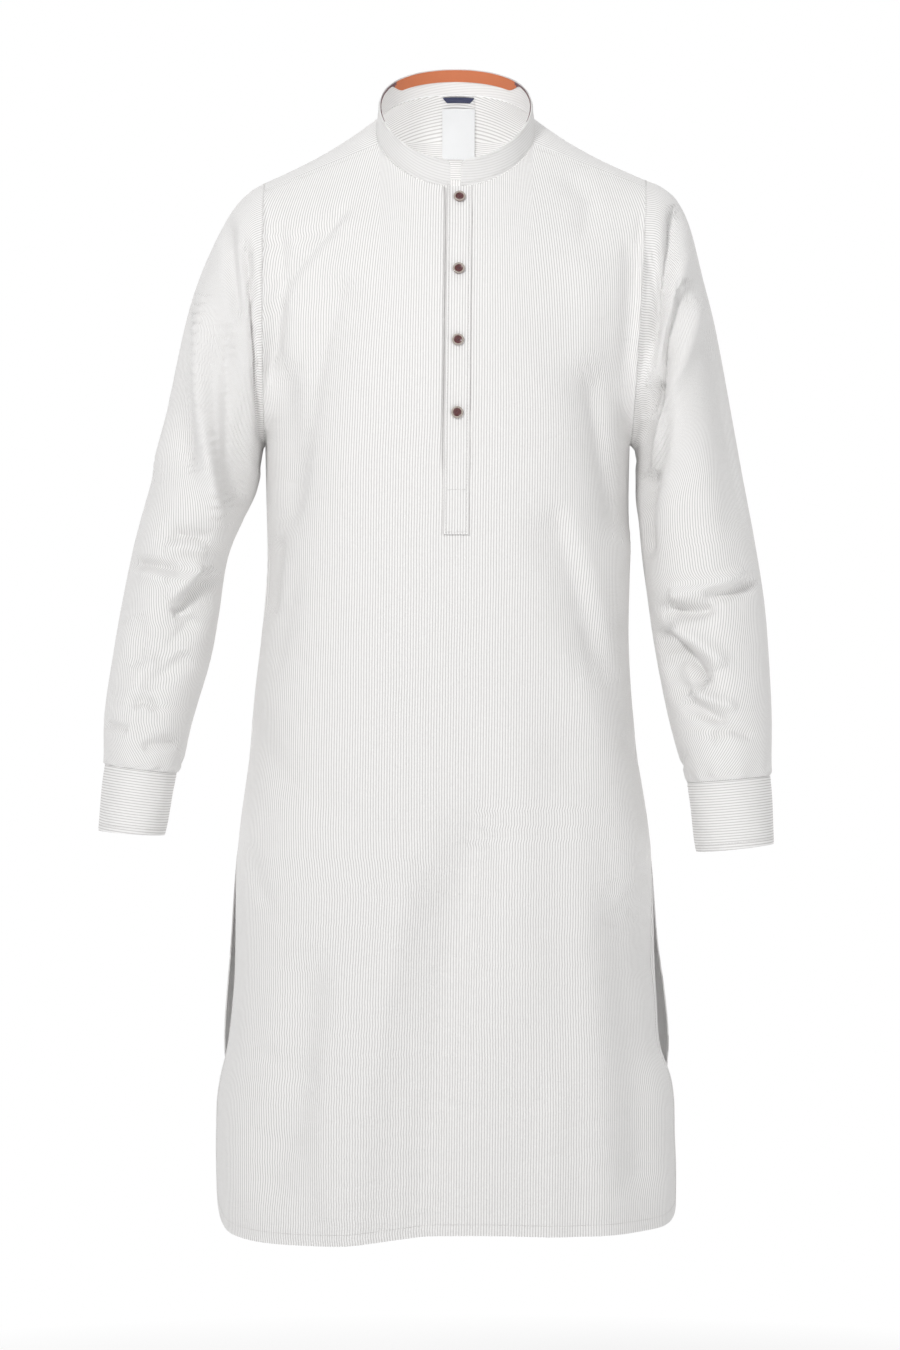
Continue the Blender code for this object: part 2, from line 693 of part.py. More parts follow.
def build_cuff(name, ends):
    """A band that laps over its own start, at the back of the wrist."""
    turn = np.arange(0, CUFF_STEPS + CUFF_LAP_STEPS + 1)
    angle = (CUFF_FIRST_STEP + turn) * 2 * math.pi / CUFF_STEPS
    heights = np.array([0.0, 0.33, 0.67, 1.0])
    grid = np.array([sleeve_points(ends, h, angle) for h in heights])
    axis = unit(grid[-1].mean(0) - grid[0].mean(0))
    grid = grid + axis * SEAM * (1 - heights)[:, None, None]
    out = unit(grid - grid.mean(axis=1, keepdims=True))
    out = unit(out - (out @ axis)[..., None] * axis)
    raised = CUFF_RISE * ease((turn - CUFF_RISE_STEP) / 3.0)
    grid = grid + out * raised[None, :, None]
    add_wall("cuff_" + name, grid, grid - out * CUFF_WALL, "cotton", COTTON)
    seat = (grid[1, -2] + grid[2, -2] + grid[1, -1] + grid[2, -1]) / 4
    facing = unit(np.cross(grid[2, -2] - grid[1, -1], grid[2, -1] - grid[1, -2]))
    if facing @ out[1, -2] < 0:
        facing = -facing
    add_button("cuff_button_" + name, seat, facing)


def add_button(name, seat, facing):
    """A turned button with a raised rim, standing just clear of the cloth."""
    profile = [(0.8, 0.0), (1.0, 0.35), (0.98, 0.8), (0.86, 1.0), (0.68, 0.9), (0.58, 0.62)]
    side = unit(np.cross(facing, [0, 0, 1]))
    up = np.cross(side, facing)
    base = np.asarray(seat) + facing * SEAM
    points, faces = [], []
    sides = BUTTON_SIDES
    for share, height in profile:
        for k in range(sides):
            turn = 2 * math.pi * k / sides
            arm = side * math.cos(turn) + up * math.sin(turn)
            points.append(base + arm * share * BUTTON_RADIUS + facing * height * BUTTON_THICK)
    for i in range(len(profile) - 1):
        for k in range(sides):
            n = (k + 1) % sides
            faces.append((i * sides + k, i * sides + n, (i + 1) * sides + n, (i + 1) * sides + k))
    faces.append(tuple(range(sides))[::-1])
    faces.append(tuple((len(profile) - 1) * sides + k for k in range(sides)))
    add_object(name, points, faces, "button", MAROON)


def build_buttons(placket, normal):
    """Buttons down the middle of the placket, each flat on the strip where it lies."""
    line = (placket[:, 1] + placket[:, 2]) / 2
    out = unit(normal[:, 1] + normal[:, 2])
    for number in range(BUTTON_COUNT):
        z = FIRST_BUTTON_Z - number * BUTTON_PITCH
        seat = np.array([np.interp(z, line[:, 2], line[:, k]) for k in range(3)])
        facing = unit(np.array([np.interp(z, line[:, 2], out[:, k]) for k in range(3)]))
        add_button(f"button_{number + 1}", seat + facing * SEAM, facing)


def main():
    """Builds every piece of the garment."""
    for old in list(bpy.data.objects):
        bpy.data.objects.remove(old, do_unlink=True)
    placket, normal = build_front()
    build_buttons(placket, normal)
    build_back()
    build_yoke()
    build_collar()
    build_sleeve("right", -1, CREASES_RIGHT, CUFF_END_RIGHT)
    build_sleeve("left", 1, CREASES_LEFT, CUFF_END_LEFT)


main()
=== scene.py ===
"""Dress of the long kurta tunic: fine striped cotton, sewing, creases, buttons and light.

Every piece lies on the form of its own solid. Lengths are metres, but for the tables,
which are millimetres. The frame's X runs to the wearer's left and the front faces -Y.
"""

import logging
import math
from dataclasses import dataclass, field
from enum import Enum
from typing import NamedTuple, Sequence

import bmesh
import bpy
import numpy as np
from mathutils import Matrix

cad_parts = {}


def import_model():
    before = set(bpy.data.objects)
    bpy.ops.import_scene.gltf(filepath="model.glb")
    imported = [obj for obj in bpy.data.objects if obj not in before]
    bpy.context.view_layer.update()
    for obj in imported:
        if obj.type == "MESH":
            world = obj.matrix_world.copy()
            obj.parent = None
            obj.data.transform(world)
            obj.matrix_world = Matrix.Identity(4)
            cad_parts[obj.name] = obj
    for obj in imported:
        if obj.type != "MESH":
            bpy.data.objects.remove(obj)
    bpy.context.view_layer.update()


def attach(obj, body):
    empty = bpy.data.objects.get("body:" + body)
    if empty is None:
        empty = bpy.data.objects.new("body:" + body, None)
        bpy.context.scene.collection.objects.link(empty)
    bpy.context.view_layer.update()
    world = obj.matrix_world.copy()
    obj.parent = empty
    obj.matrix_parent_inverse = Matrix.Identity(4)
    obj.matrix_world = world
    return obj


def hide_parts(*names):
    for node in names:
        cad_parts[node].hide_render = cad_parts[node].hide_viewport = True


LOG = logging.getLogger("kurta")
Array = np.ndarray
MM = 0.001
SEAM = 0.0003
CAMERA_DISTANCE = 4.5
CAMERA_X = -0.002
CAMERA_Z = -0.527


class Grain(Enum):
    """Which way the stripes of a piece run."""

    ALONG = "along"
    AROUND = "around"


def column(rows: Sequence[NamedTuple], name: str, scale: float = MM) -> Array:
    """One named column of a table, in metres.

    Args:
        rows: The table's rows.
        name: The column's name.
        scale: What one unit of the column is, in metres.

    Returns:
        The column's values.
    """
    return np.array([getattr(row, name) for row in rows], float) * scale


def smooth(at: Array, known: Array, values: Array) -> Array:
    """Cubic curve through values, with slopes taken from their neighbours.

    Args:
        at: Where the curve is read.
        known: Where its values are known.
        values: Those values.

    Returns:
        The curve's values.
    """
    order = np.argsort(known)
    known, values = known[order], values[order]
    slopes = np.gradient(values, known)
    at = np.clip(at, known[0], known[-1])
    i = np.clip(np.searchsorted(known, at) - 1, 0, len(known) - 2)
    width = known[i + 1] - known[i]
    t = (at - known[i]) / width
    rise = (2 * t**3 - 3 * t**2 + 1) * values[i] + (3 * t**2 - 2 * t**3) * values[i + 1]
    lean = (t**3 - 2 * t**2 + t) * slopes[i] + (t**3 - t**2) * slopes[i + 1]
    return rise + lean * width


def ease(t: Array) -> Array:
    """Soft step from 0 to 1."""
    t = np.clip(t, 0.0, 1.0)
    return t * t * (3 - 2 * t)


def bell(x: Array, width: float | Array) -> Array:
    """Soft hump of height 1 at 0."""
    return np.exp(-((x / width) ** 2))


def wave(x: Array, pitch: float, shift: float = 0.0) -> Array:
    """Even waves along a length, one for each pitch."""
    return np.sin(x * 2 * math.pi / pitch + shift)


def unit(v: Array) -> Array:
    """Vectors scaled to length 1."""
    v = np.asarray(v, float)
    return v / np.maximum(np.linalg.norm(v, axis=-1, keepdims=True), 1e-12)


# Across the yoke's back seam and its front seams: the way down the cloth, and the way into it
BACK_SEAM_DOWN = unit([0, 0.48, -0.88])
BACK_SEAM_INWARD = unit([0, -0.88, -0.48])
FRONT_SEAM_DOWN = unit([0, -0.82, -0.57])
FRONT_SEAM_INWARD = unit([0, 0.57, -0.82])


def outward(grid: Array, wrap: bool = False) -> Array:
    """Normals of a grid of points that face away from its own middle line.

    Args:
        grid: Points as rows by columns by 3.
        wrap: Whether its last column meets the first.

    Returns:
        Unit normals, one for each point.
    """
    if wrap:
        across = np.roll(grid, -1, 1) - np.roll(grid, 1, 1)
    else:
        across = np.gradient(grid, axis=1)
    normal = unit(np.cross(across, np.gradient(grid, axis=0)))
    middle = grid.mean(axis=1, keepdims=True)
    if not wrap:
        middle = middle * [1, 0, 1]
    return -normal if np.sum(normal * (grid - middle)) < 0 else normal


class Fold(NamedTuple):
    """A soft trough (depth below 0) or ridge, from one end by a middle point to the other."""

    x1: float
    z1: float
    x2: float
    z2: float
    x3: float
    z3: float
    reach: float
    depth: float


class Crease(NamedTuple):
    """A sleeve's fold, by section number and degrees round from the outer edge by the front."""

    section1: float
    angle1: float
    section2: float
    angle2: float
    reach: float
    depth: float


class Body(NamedTuple):
    """A level of the body: its side seams and the depth of its front and back."""

    z: float
    left: float
    right: float
    front: float
    back: float


class Vent(NamedTuple):
    """Below the vents' tops: how far each panel's sides draw in and part in depth."""

    z: float
    front_left: float
    front_right: float
    back_left: float
    back_right: float
    front_gap: float
    back_gap: float


class Chest(NamedTuple):
    """Depth of the middle of chest and back, from the armpits (0) to the top (1)."""

    level: float
    front: float
    back: float


class Hem(NamedTuple):
    """Height of the hem by place across a panel."""

    across: float
    z: float


class Section(NamedTuple):
    """A sleeve section: its ends as the front shows it, half its depth, its forward hang."""

    top_x: float
    top_z: float
    under_x: float
    under_z: float
    depth: float
    forward: float


BODY = [
    Body(-302, -183, 174, -135, 115),
    Body(-356, -182, 173, -134, 110),
    Body(-415, -181, 174, -131, 104),
    Body(-493, -187, 173, -129, 102),
    Body(-552, -194, 176, -128, 106),
    Body(-611, -199, 182, -128, 111),
    Body(-670, -207, 191, -128, 115),
    Body(-729, -213, 197, -129, 118),
    Body(-788, -217, 202, -130, 120),
    Body(-846, -222, 210, -131, 122),
    Body(-905, -225, 214, -132, 123),
    Body(-964, -229, 216, -133, 124),
    Body(-1023, -230, 218, -134, 124),
    Body(-1080, -229, 218, -134, 124),
]
VENTS = [
    Vent(-1080, 0, 0, 8, 10, 25, 28),
    Vent(-1000, 0, 0, 6, 8, 25, 25),
    Vent(-920, 1, 2, 3, 3, 22, 22),
    Vent(-890, 5, 10, 0, 0, 20, 20),
    Vent(-840, 8, 10, 0, 0, 18, 15),
    Vent(-780, 5, 4, 0, 0, 11, 8),
    Vent(-700, 0, 0, 0, 0, 0, 0),
]
CHEST = [
    Chest(0.0, -135, 115),
    Chest(0.33, -132, 124),
    Chest(0.66, -113, 122),
    Chest(1.0, -75, 105),
]
FRONT_HEM = [
    Hem(-1.0, -1055), Hem(-0.75, -1068), Hem(-0.4, -1072), Hem(0.0, -1061),
    Hem(0.4, -1063), Hem(0.75, -1061), Hem(1.0, -1055),
]
BACK_HEM = [Hem(-1.0, -1052), Hem(-0.6, -1060), Hem(0.0, -1062), Hem(0.6, -1060), Hem(1.0, -1052)]
SLEEVE_RIGHT = [
    Section(-183, -45, -183, -302, 75, 0),
    Section(-198, -54, -185, -306, 78, 0),
    Section(-214, -71, -186, -311, 80, 0),
    Section(-231, -101, -187, -317, 81, 0),
    Section(-248, -140, -188, -324, 80, 0),
    Section(-260, -179, -188, -332, 78, 0),
    Section(-269, -219, -190, -341, 76, 0),
    Section(-277, -258, -193, -351, 74, -1),
    Section(-285, -297, -198, -362, 72, -2),
    Section(-294, -336, -205, -376, 70, -3),
    Section(-310, -395, -219, -411, 67, -6),
    Section(-322, -454, -228, -468, 64, -12),
    Section(-330, -503, -236, -513, 61, -20),
    Section(-338, -562, -253, -573, 57, -33),
    Section(-338, -603, -261, -611, 52, -42),
    Section(-337, -613, -267, -622, 47, -46),
]
SLEEVE_LEFT = [
    Section(189, -42, 175, -302, 75, 0),
    Section(205, -49, 179, -307, 78, 0),
    Section(220, -62, 180, -312, 80, 0),
    Section(233, -89, 181, -318, 81, 0),
    Section(246, -140, 180, -325, 80, 0),
    Section(256, -179, 180, -333, 78, 0),
    Section(264, -219, 180, -342, 76, 0),
    Section(271, -258, 180, -352, 74, -1),
    Section(278, -297, 181, -363, 73, -2),
    Section(285, -336, 183, -377, 72, -3),
    Section(296, -395, 186, -410, 70, -5),
    Section(305, -454, 192, -460, 67, -11),
    Section(309, -508, 200, -513, 64, -19),
    Section(311, -566, 211, -570, 59, -32),
    Section(310, -607, 222, -612, 53, -42),
    Section(309, -624, 228, -631, 47, -45),
]
CUFF_END_RIGHT = Section(-343, -677, -278, -682, 44, -54)
CUFF_END_LEFT = Section(312, -690, 236, -698, 45, -54)

FRONT_FOLDS = [
    Fold(20, -640, -42, -830, -88, -1066, 34, -4),
    Fold(-105, -780, -108, -930, -104, -1066, 26, 5),
    Fold(0, -860, -10, -960, -10, -1066, 26, 2),
    Fold(-138, -790, -142, -890, -172, -1010, 22, -5),
    Fold(118, -500, 150, -640, 176, -770, 24, 5),
    Fold(158, -720, 176, -860, 182, -1000, 24, -6),
    Fold(128, -215, 148, -318, 168, -400, 22, -5),
    Fold(86, -370, 118, -450, 150, -540, 22, -4),
    Fold(-108, -90, -136, -125, -168, -160, 20, -4),
    Fold(-100, -140, -132, -240, -158, -400, 26, -4),
]
# Finer creases of the front
FRONT_CREASES = [
    Fold(104, -46, 132, -70, 122, -110, 11, -1.8),
    Fold(-96, -72, -130, -106, -166, -154, 5, -2.4),
    Fold(-92, -84, -126, -120, -158, -164, 7, 1.4),
    Fold(-176, -158, -175, -200, -181, -250, 5, -2.6),
    Fold(-164, -160, -171, -204, -179, -250, 5, -2.0),
    Fold(-182, -70, -178, -110, -178, -150, 5, -1.4),
    Fold(183, -76, 182, -120, 182, -158, 5, -1.4),
    Fold(-100, -142, -128, -222, -158, -400, 9, -1.8),
    Fold(138, -240, 150, -310, 168, -392, 10, -2.2),
    Fold(146, -250, 160, -330, 172, -420, 8, 1.6),
    Fold(96, -362, 118, -428, 150, -540, 10, -1.8),
    Fold(110, -366, 132, -424, 158, -520, 9, 1.5),
    Fold(-170, -392, -175, -430, -177, -470, 7, -5.0),
    Fold(-150, -420, -160, -470, -172, -520, 10, -1.5),
    Fold(-34, -700, -66, -846, -92, -1066, 22, 6.0),
    Fold(30, -650, -4, -846, -28, -1066, 24, -7.6),
    Fold(-168, -86, -168, -160, -173, -240, 9, -4.0),
    Fold(130, -120, 132, -180, 126, -250, 22, 2.2),
    Fold(173, -100, 174, -170, 168, -250, 11, -3.6),
    Fold(-168, -220, -160, -300, -164, -400, 14, -3.6),
    Fold(-120, -860, -124, -950, -118, -1040, 12, 1.4),
    Fold(60, -560, 66, -700, 70, -880, 30, 2.5),
    Fold(100, -900, 98, -980, 96, -1060, 16, 2.0),
    Fold(116, -611, 130, -797, 145, -1062, 22, 3.0),
    Fold(176, -740, 190, -865, 186, -1062, 16, -1.4),
    Fold(182, -700, 188, -760, 192, -830, 10, -2.2),
    Fold(-200, -690, -190, -720, -176, -752, 9, -1.8),
    Fold(-196, -560, -180, -600, -150, -640, 14, -1.6),
    Fold(160, -585, 176, -600, 184, -612, 8, -1.6),
    Fold(-60, -520, -20, -560, 40, -590, 16, -1.2),
    Fold(-140, -640, -90, -668, -30, -690, 14, -1.2),
    Fold(60, -760, 100, -775, 150, -800, 12, -1.2),
    Fold(-20, -930, 40, -938, 100, -930, 9, -0.9),
    Fold(0, -985, 60, -990, 120, -984, 8, -0.9),
    Fold(-190, -880, -160, -905, -120, -912, 9, -1.1),
    Fold(-200, -960, -170, -975, -140, -978, 9, -1.0),
]
BACK_FOLDS = [
    Fold(-20, -560, 30, -760, 70, -1062, 36, -8),
    Fold(96, -700, 108, -880, 112, -1062, 28, 5),
    Fold(-90, -640, -104, -840, -110, -1062, 32, -6),
    Fold(-120, -220, -100, -330, -60, -430, 26, -5),
    Fold(120, -200, 104, -320, 66, -420, 26, -5),
]
# Finer creases of the back, like those of the front
BACK_CREASES = [
    Fold(-150, -180, -140, -260, -118, -340, 11, -2.2),
    Fold(148, -190, 140, -270, 116, -350, 12, -2.0),
    Fold(-60, -470, 0, -486, 64, -470, 14, -2.0),
    Fold(-86, -520, -30, -545, 40, -530, 12, -1.6),
    Fold(10, -600, 22, -720, 48, -860, 13, -2.2),
    Fold(34, -620, 50, -760, 76, -900, 12, 1.6),
    Fold(-104, -720, -112, -850, -118, -980, 12, -1.8),
    Fold(-60, -780, -56, -900, -60, -1050, 18, 2.4),
    Fold(150, -640, 158, -760, 156, -900, 14, -2.4),
    Fold(-160, -700, -166, -820, -162, -960, 12, -2.0),
    Fold(20, -930, 70, -940, 130, -934, 9, -0.9),
    Fold(-130, -900, -80, -912, -20, -905, 9, -0.9),
    Fold(-40, -110, 10, -118, 60, -108, 12, -1.0),
]
CREASES_RIGHT = [
    Crease(2.5, 120, 8.0, 150, 16, -5),
    Crease(9.6, 60, 10.6, 140, 15, -4),
    Crease(10.6, 150, 12.2, 50, 15, -5),
    Crease(10.4, 200, 12.0, 300, 16, -5),
    Crease(12.8, 20, 13.0, 110, 13, -3),
]
# Finer folds near the armhole and on the back of the sleeve
FINE_RIGHT = [
    Crease(1.3, 70, 0.55, 140, 6, -4.0),
    Crease(13.6, 150, 14.2, 190, 6, -2.4),
    Crease(13.7, 210, 14.1, 280, 6, -2.0),
    Crease(9.9, 230, 10.5, 320, 8, -2.6),
    Crease(11.2, 215, 11.8, 300, 8, -2.4),
    Crease(12.7, 240, 13.0, 310, 7, -2.0),
    Crease(2.0, 210, 6.0, 240, 13, -3.2),
]
# Folds of the front of the sleeve, as the front shows them
FRONT_RIGHT = [
    Fold(-246, -150, -245, -268, -222, -385, 13, 5.0),
    Fold(-226, -180, -218, -287, -212, -365, 15, -5.0),
    Fold(-237, -200, -236, -277, -219, -385, 6, -2.6),
    Fold(-258, -150, -262, -248, -252, -330, 12, -4.6),
    Fold(-286, -190, -288, -260, -290, -340, 12, 2.4),
    Fold(-222, -74, -217, -124, -208, -182, 7, -3.2),
    Fold(-205, -98, -194, -160, -185, -232, 7, -4.5),
    Fold(-198, -111, -189, -179, -185, -248, 7, 2.4),
    Fold(-190, -214, -185, -262, -181, -306, 7, -3.4),
    Fold(-284, -392, -261, -389, -235, -395, 6, -3.2),
    Fold(-284, -404, -261, -403, -239, -407, 7, 2.0),
    Fold(-318, -415, -291, -420, -266, -424, 6, -3.4),
    Fold(-306, -427, -293, -431, -276, -436, 7, 2.0),
    Fold(-228, -424, -251, -446, -273, -469, 8, -4.6),
    Fold(-242, -420, -260, -437, -280, -456, 8, 2.8),
    Fold(-248, -468, -268, -492, -296, -512, 9, -2.4),
    Fold(-255, -506, -278, -522, -308, -541, 9, -2.8),
    Fold(-318, -557, -303, -551, -288, -562, 6, -3.4),
    Fold(-341, -575, -331, -578, -318, -580, 5, -2.0),
    Fold(-304, -600, -286, -594, -266, -594, 6, -2.6),
    Fold(-312, -468, -308, -490, -314, -520, 12, -2.0),
]
CREASES_LEFT = [
    Crease(1.5, 70, 6.5, 140, 18, -6),
    Crease(4.0, 95, 8.5, 150, 18, -6),
    Crease(10.6, 40, 11.3, 160, 15, -4),
    Crease(11.6, 160, 12.8, 80, 15, -5),
    Crease(10.8, 200, 12.2, 310, 16, -5),
]
FINE_LEFT = [
    Crease(13.8, 150, 14.3, 200, 6, -2.2),
    Crease(9.6, 220, 10.4, 310, 8, -2.6),
    Crease(11.6, 220, 12.2, 300, 8, -2.4),
    Crease(13.0, 230, 13.3, 310, 7, -2.0),
    Crease(2.0, 215, 6.0, 245, 13, -3.2),
]
FRONT_LEFT = [
    Fold(218, -64, 213, -130, 188, -216, 8, -4.6),
    Fold(196, -105, 196, -170, 186, -245, 9, -3.6),
    Fold(226, -110, 222, -150, 203, -206, 8, 1.8),
    Fold(228, -140, 217, -200, 184, -282, 9, -4.4),
    Fold(238, -158, 230, -205, 199, -272, 9, 2.6),
    Fold(200, -236, 186, -287, 180, -335, 10, -4.6),
    Fold(194, -326, 188, -365, 192, -415, 8, -4.0),
    Fold(204, -461, 233, -465, 260, -460, 6, -4.4),
    Fold(210, -449, 243, -445, 290, -427, 8, 3.4),
    Fold(246, -447, 274, -444, 300, -433, 6, -3.4),
    Fold(197, -487, 225, -509, 251, -536, 10, -6.8),
    Fold(211, -480, 243, -497, 267, -522, 9, 3.4),
    Fold(209, -508, 217, -532, 233, -546, 9, -3.4),
    Fold(225, -551, 249, -564, 272, -572, 7, -4.4),
    Fold(236, -545, 258, -552, 280, -560, 6, 2.4),
    Fold(254, -594, 273, -580, 296, -590, 6, -2.4),
    Fold(261, -185, 272, -287, 284, -400, 17, -2.6),
]


# Folds that end below this height run out over the hem
OVER_HEM = -1000


def fold_height(x: Array, z: Array, folds: Sequence[Fold]) -> Array:
    """Sum of folds at points of a piece.

    Args:
        x: Where the points are across.
        z: Their heights.
        folds: The folds.

    Returns:
        Heights over the plain form.
    """
    total = np.zeros(x.shape)
    t = np.linspace(0, 1, 25)
    for fold in folds:
        bend_x = 2 * fold.x2 - (fold.x1 + fold.x3) / 2
        bend_z = 2 * fold.z2 - (fold.z1 + fold.z3) / 2
        px = ((1 - t) ** 2 * fold.x1 + 2 * t * (1 - t) * bend_x + t**2 * fold.x3) * MM
        pz = ((1 - t) ** 2 * fold.z1 + 2 * t * (1 - t) * bend_z + t**2 * fold.z3) * MM
        gap = (x[..., None] - px) ** 2 + (z[..., None] - pz) ** 2
        along = t[gap.argmin(-1)]
        end = ease((1 - along) / 0.25 + 0.25) if fold.z3 > OVER_HEM else 1
        fade = ease(along / 0.25 + 0.25) * end
        total += fold.depth * MM * fade * np.exp(-gap.min(-1) / (fold.reach * MM) ** 2)
    return total


def seen_from_front(grid: Array) -> tuple[Array, Array]:
    """Where the camera sees points, brought to the depth of the shoulders.

    Args:
        grid: The points.

    Returns:
        Places across and heights.
    """
    nearer = CAMERA_DISTANCE / (CAMERA_DISTANCE + grid[..., 1])
    return (grid[..., 0] - CAMERA_X) * nearer + CAMERA_X, (grid[..., 2] - CAMERA_Z) * nearer + CAMERA_Z


@dataclass(frozen=True)
class SleeveShape:
    """The form of one sleeve, from its armhole to the cuff's seam."""

    rows: tuple
    creases: tuple
    fine: tuple
    front: tuple
    cuff_end: Section
    side: int

    def points(self, s: float, angle: Array, rows: Sequence[Section] | None = None) -> Array:
        """Points round the sleeve at one section.

        Args:
            s: Section number, counted from the armhole.
            angle: Turns round it from the outer edge, by way of the front.
            rows: Other sections to read instead of the sleeve's own.

        Returns:
            Points, one for each angle.
        """
        rows = rows or self.rows
        number = np.arange(len(rows), dtype=float)
        top = [smooth(s, number, column(rows, n)) for n in ("top_x", "top_z")]
        under = [smooth(s, number, column(rows, n)) for n in ("under_x", "under_z")]
        depth = smooth(s, number, column(rows, "depth"))
        forward = smooth(s, number, column(rows, "forward"))
        x = (top[0] + under[0]) / 2 + np.cos(angle) * (top[0] - under[0]) / 2
        z = (top[1] + under[1]) / 2 + np.cos(angle) * (top[1] - under[1]) / 2
        return np.stack([x, forward - np.sin(angle) * depth, z], -1)

    def height(self, creases: Sequence[Crease], s: Array, angle: Array) -> Array:
        """Height of folds over the sleeve's plain form.

        Args:
            creases: The folds.
            s: Section numbers.
            angle: Turns round the sleeve.

        Returns:
            Heights in metres.
        """
        total = np.zeros(np.broadcast(s, angle).shape)
        section_step, radius = 0.045, 0.062
        t = np.linspace(0, 1, 15)
        for crease in creases:
            along = crease.section1 + (crease.section2 - crease.section1) * t
            turn = np.radians(crease.angle1 + (crease.angle2 - crease.angle1) * t)
            down = (np.asarray(s)[..., None] - along) * section_step
            around = np.angle(np.exp(1j * (np.asarray(angle)[..., None] - turn))) * radius
            gap = down**2 + around**2
            fade = np.sin(math.pi * (0.1 + 0.8 * t[gap.argmin(-1)]))
            total += crease.depth * MM * fade * np.exp(-gap.min(-1) / (crease.reach * MM) ** 2)
        return total

    def inward(self, angle: Array) -> Array:
        """Unit direction from the armhole's loop to its inside.

        Args:
            angle: Turns round the armhole.

        Returns:
            Unit directions, one for each turn.
        """
        half = (self.rows[0].top_z - self.rows[0].under_z) / 2
        parts = [0 * angle, np.sin(angle) / self.rows[0].depth, -np.cos(angle) / half]
        return unit(np.stack(parts, -1))


RIGHT_SLEEVE = SleeveShape(
    tuple(SLEEVE_RIGHT), tuple(CREASES_RIGHT), tuple(FINE_RIGHT), tuple(FRONT_RIGHT), CUFF_END_RIGHT, -1
)
LEFT_SLEEVE = SleeveShape(
    tuple(SLEEVE_LEFT), tuple(CREASES_LEFT), tuple(FINE_LEFT), tuple(FRONT_LEFT), CUFF_END_LEFT, 1
)


@dataclass(frozen=True)
class NeckShape:
    """The neck seam, an oval that rises to the back."""

    x: float = 0.0035
    y: float = -0.011
    half_width: float = 0.078
    half_depth: float = 0.064
    rise: float = 0.052
    dip: float = -0.0045
    side_angle: float = math.radians(75)

    def point(self, angle: Array) -> Array:
        """Points of the seam: angle 0 is the front, and it grows to the wearer's left.

        Args:
            angle: Turns round the neck.

        Returns:
            The points, one for each turn.
        """
        x = self.x + self.half_width * np.sin(angle)
        y = self.y - self.half_depth * np.cos(angle)
        z = 0.0005 - self.rise * np.cos(angle) + self.dip * np.cos(2 * angle)
        return np.stack([x, y, z], -1)


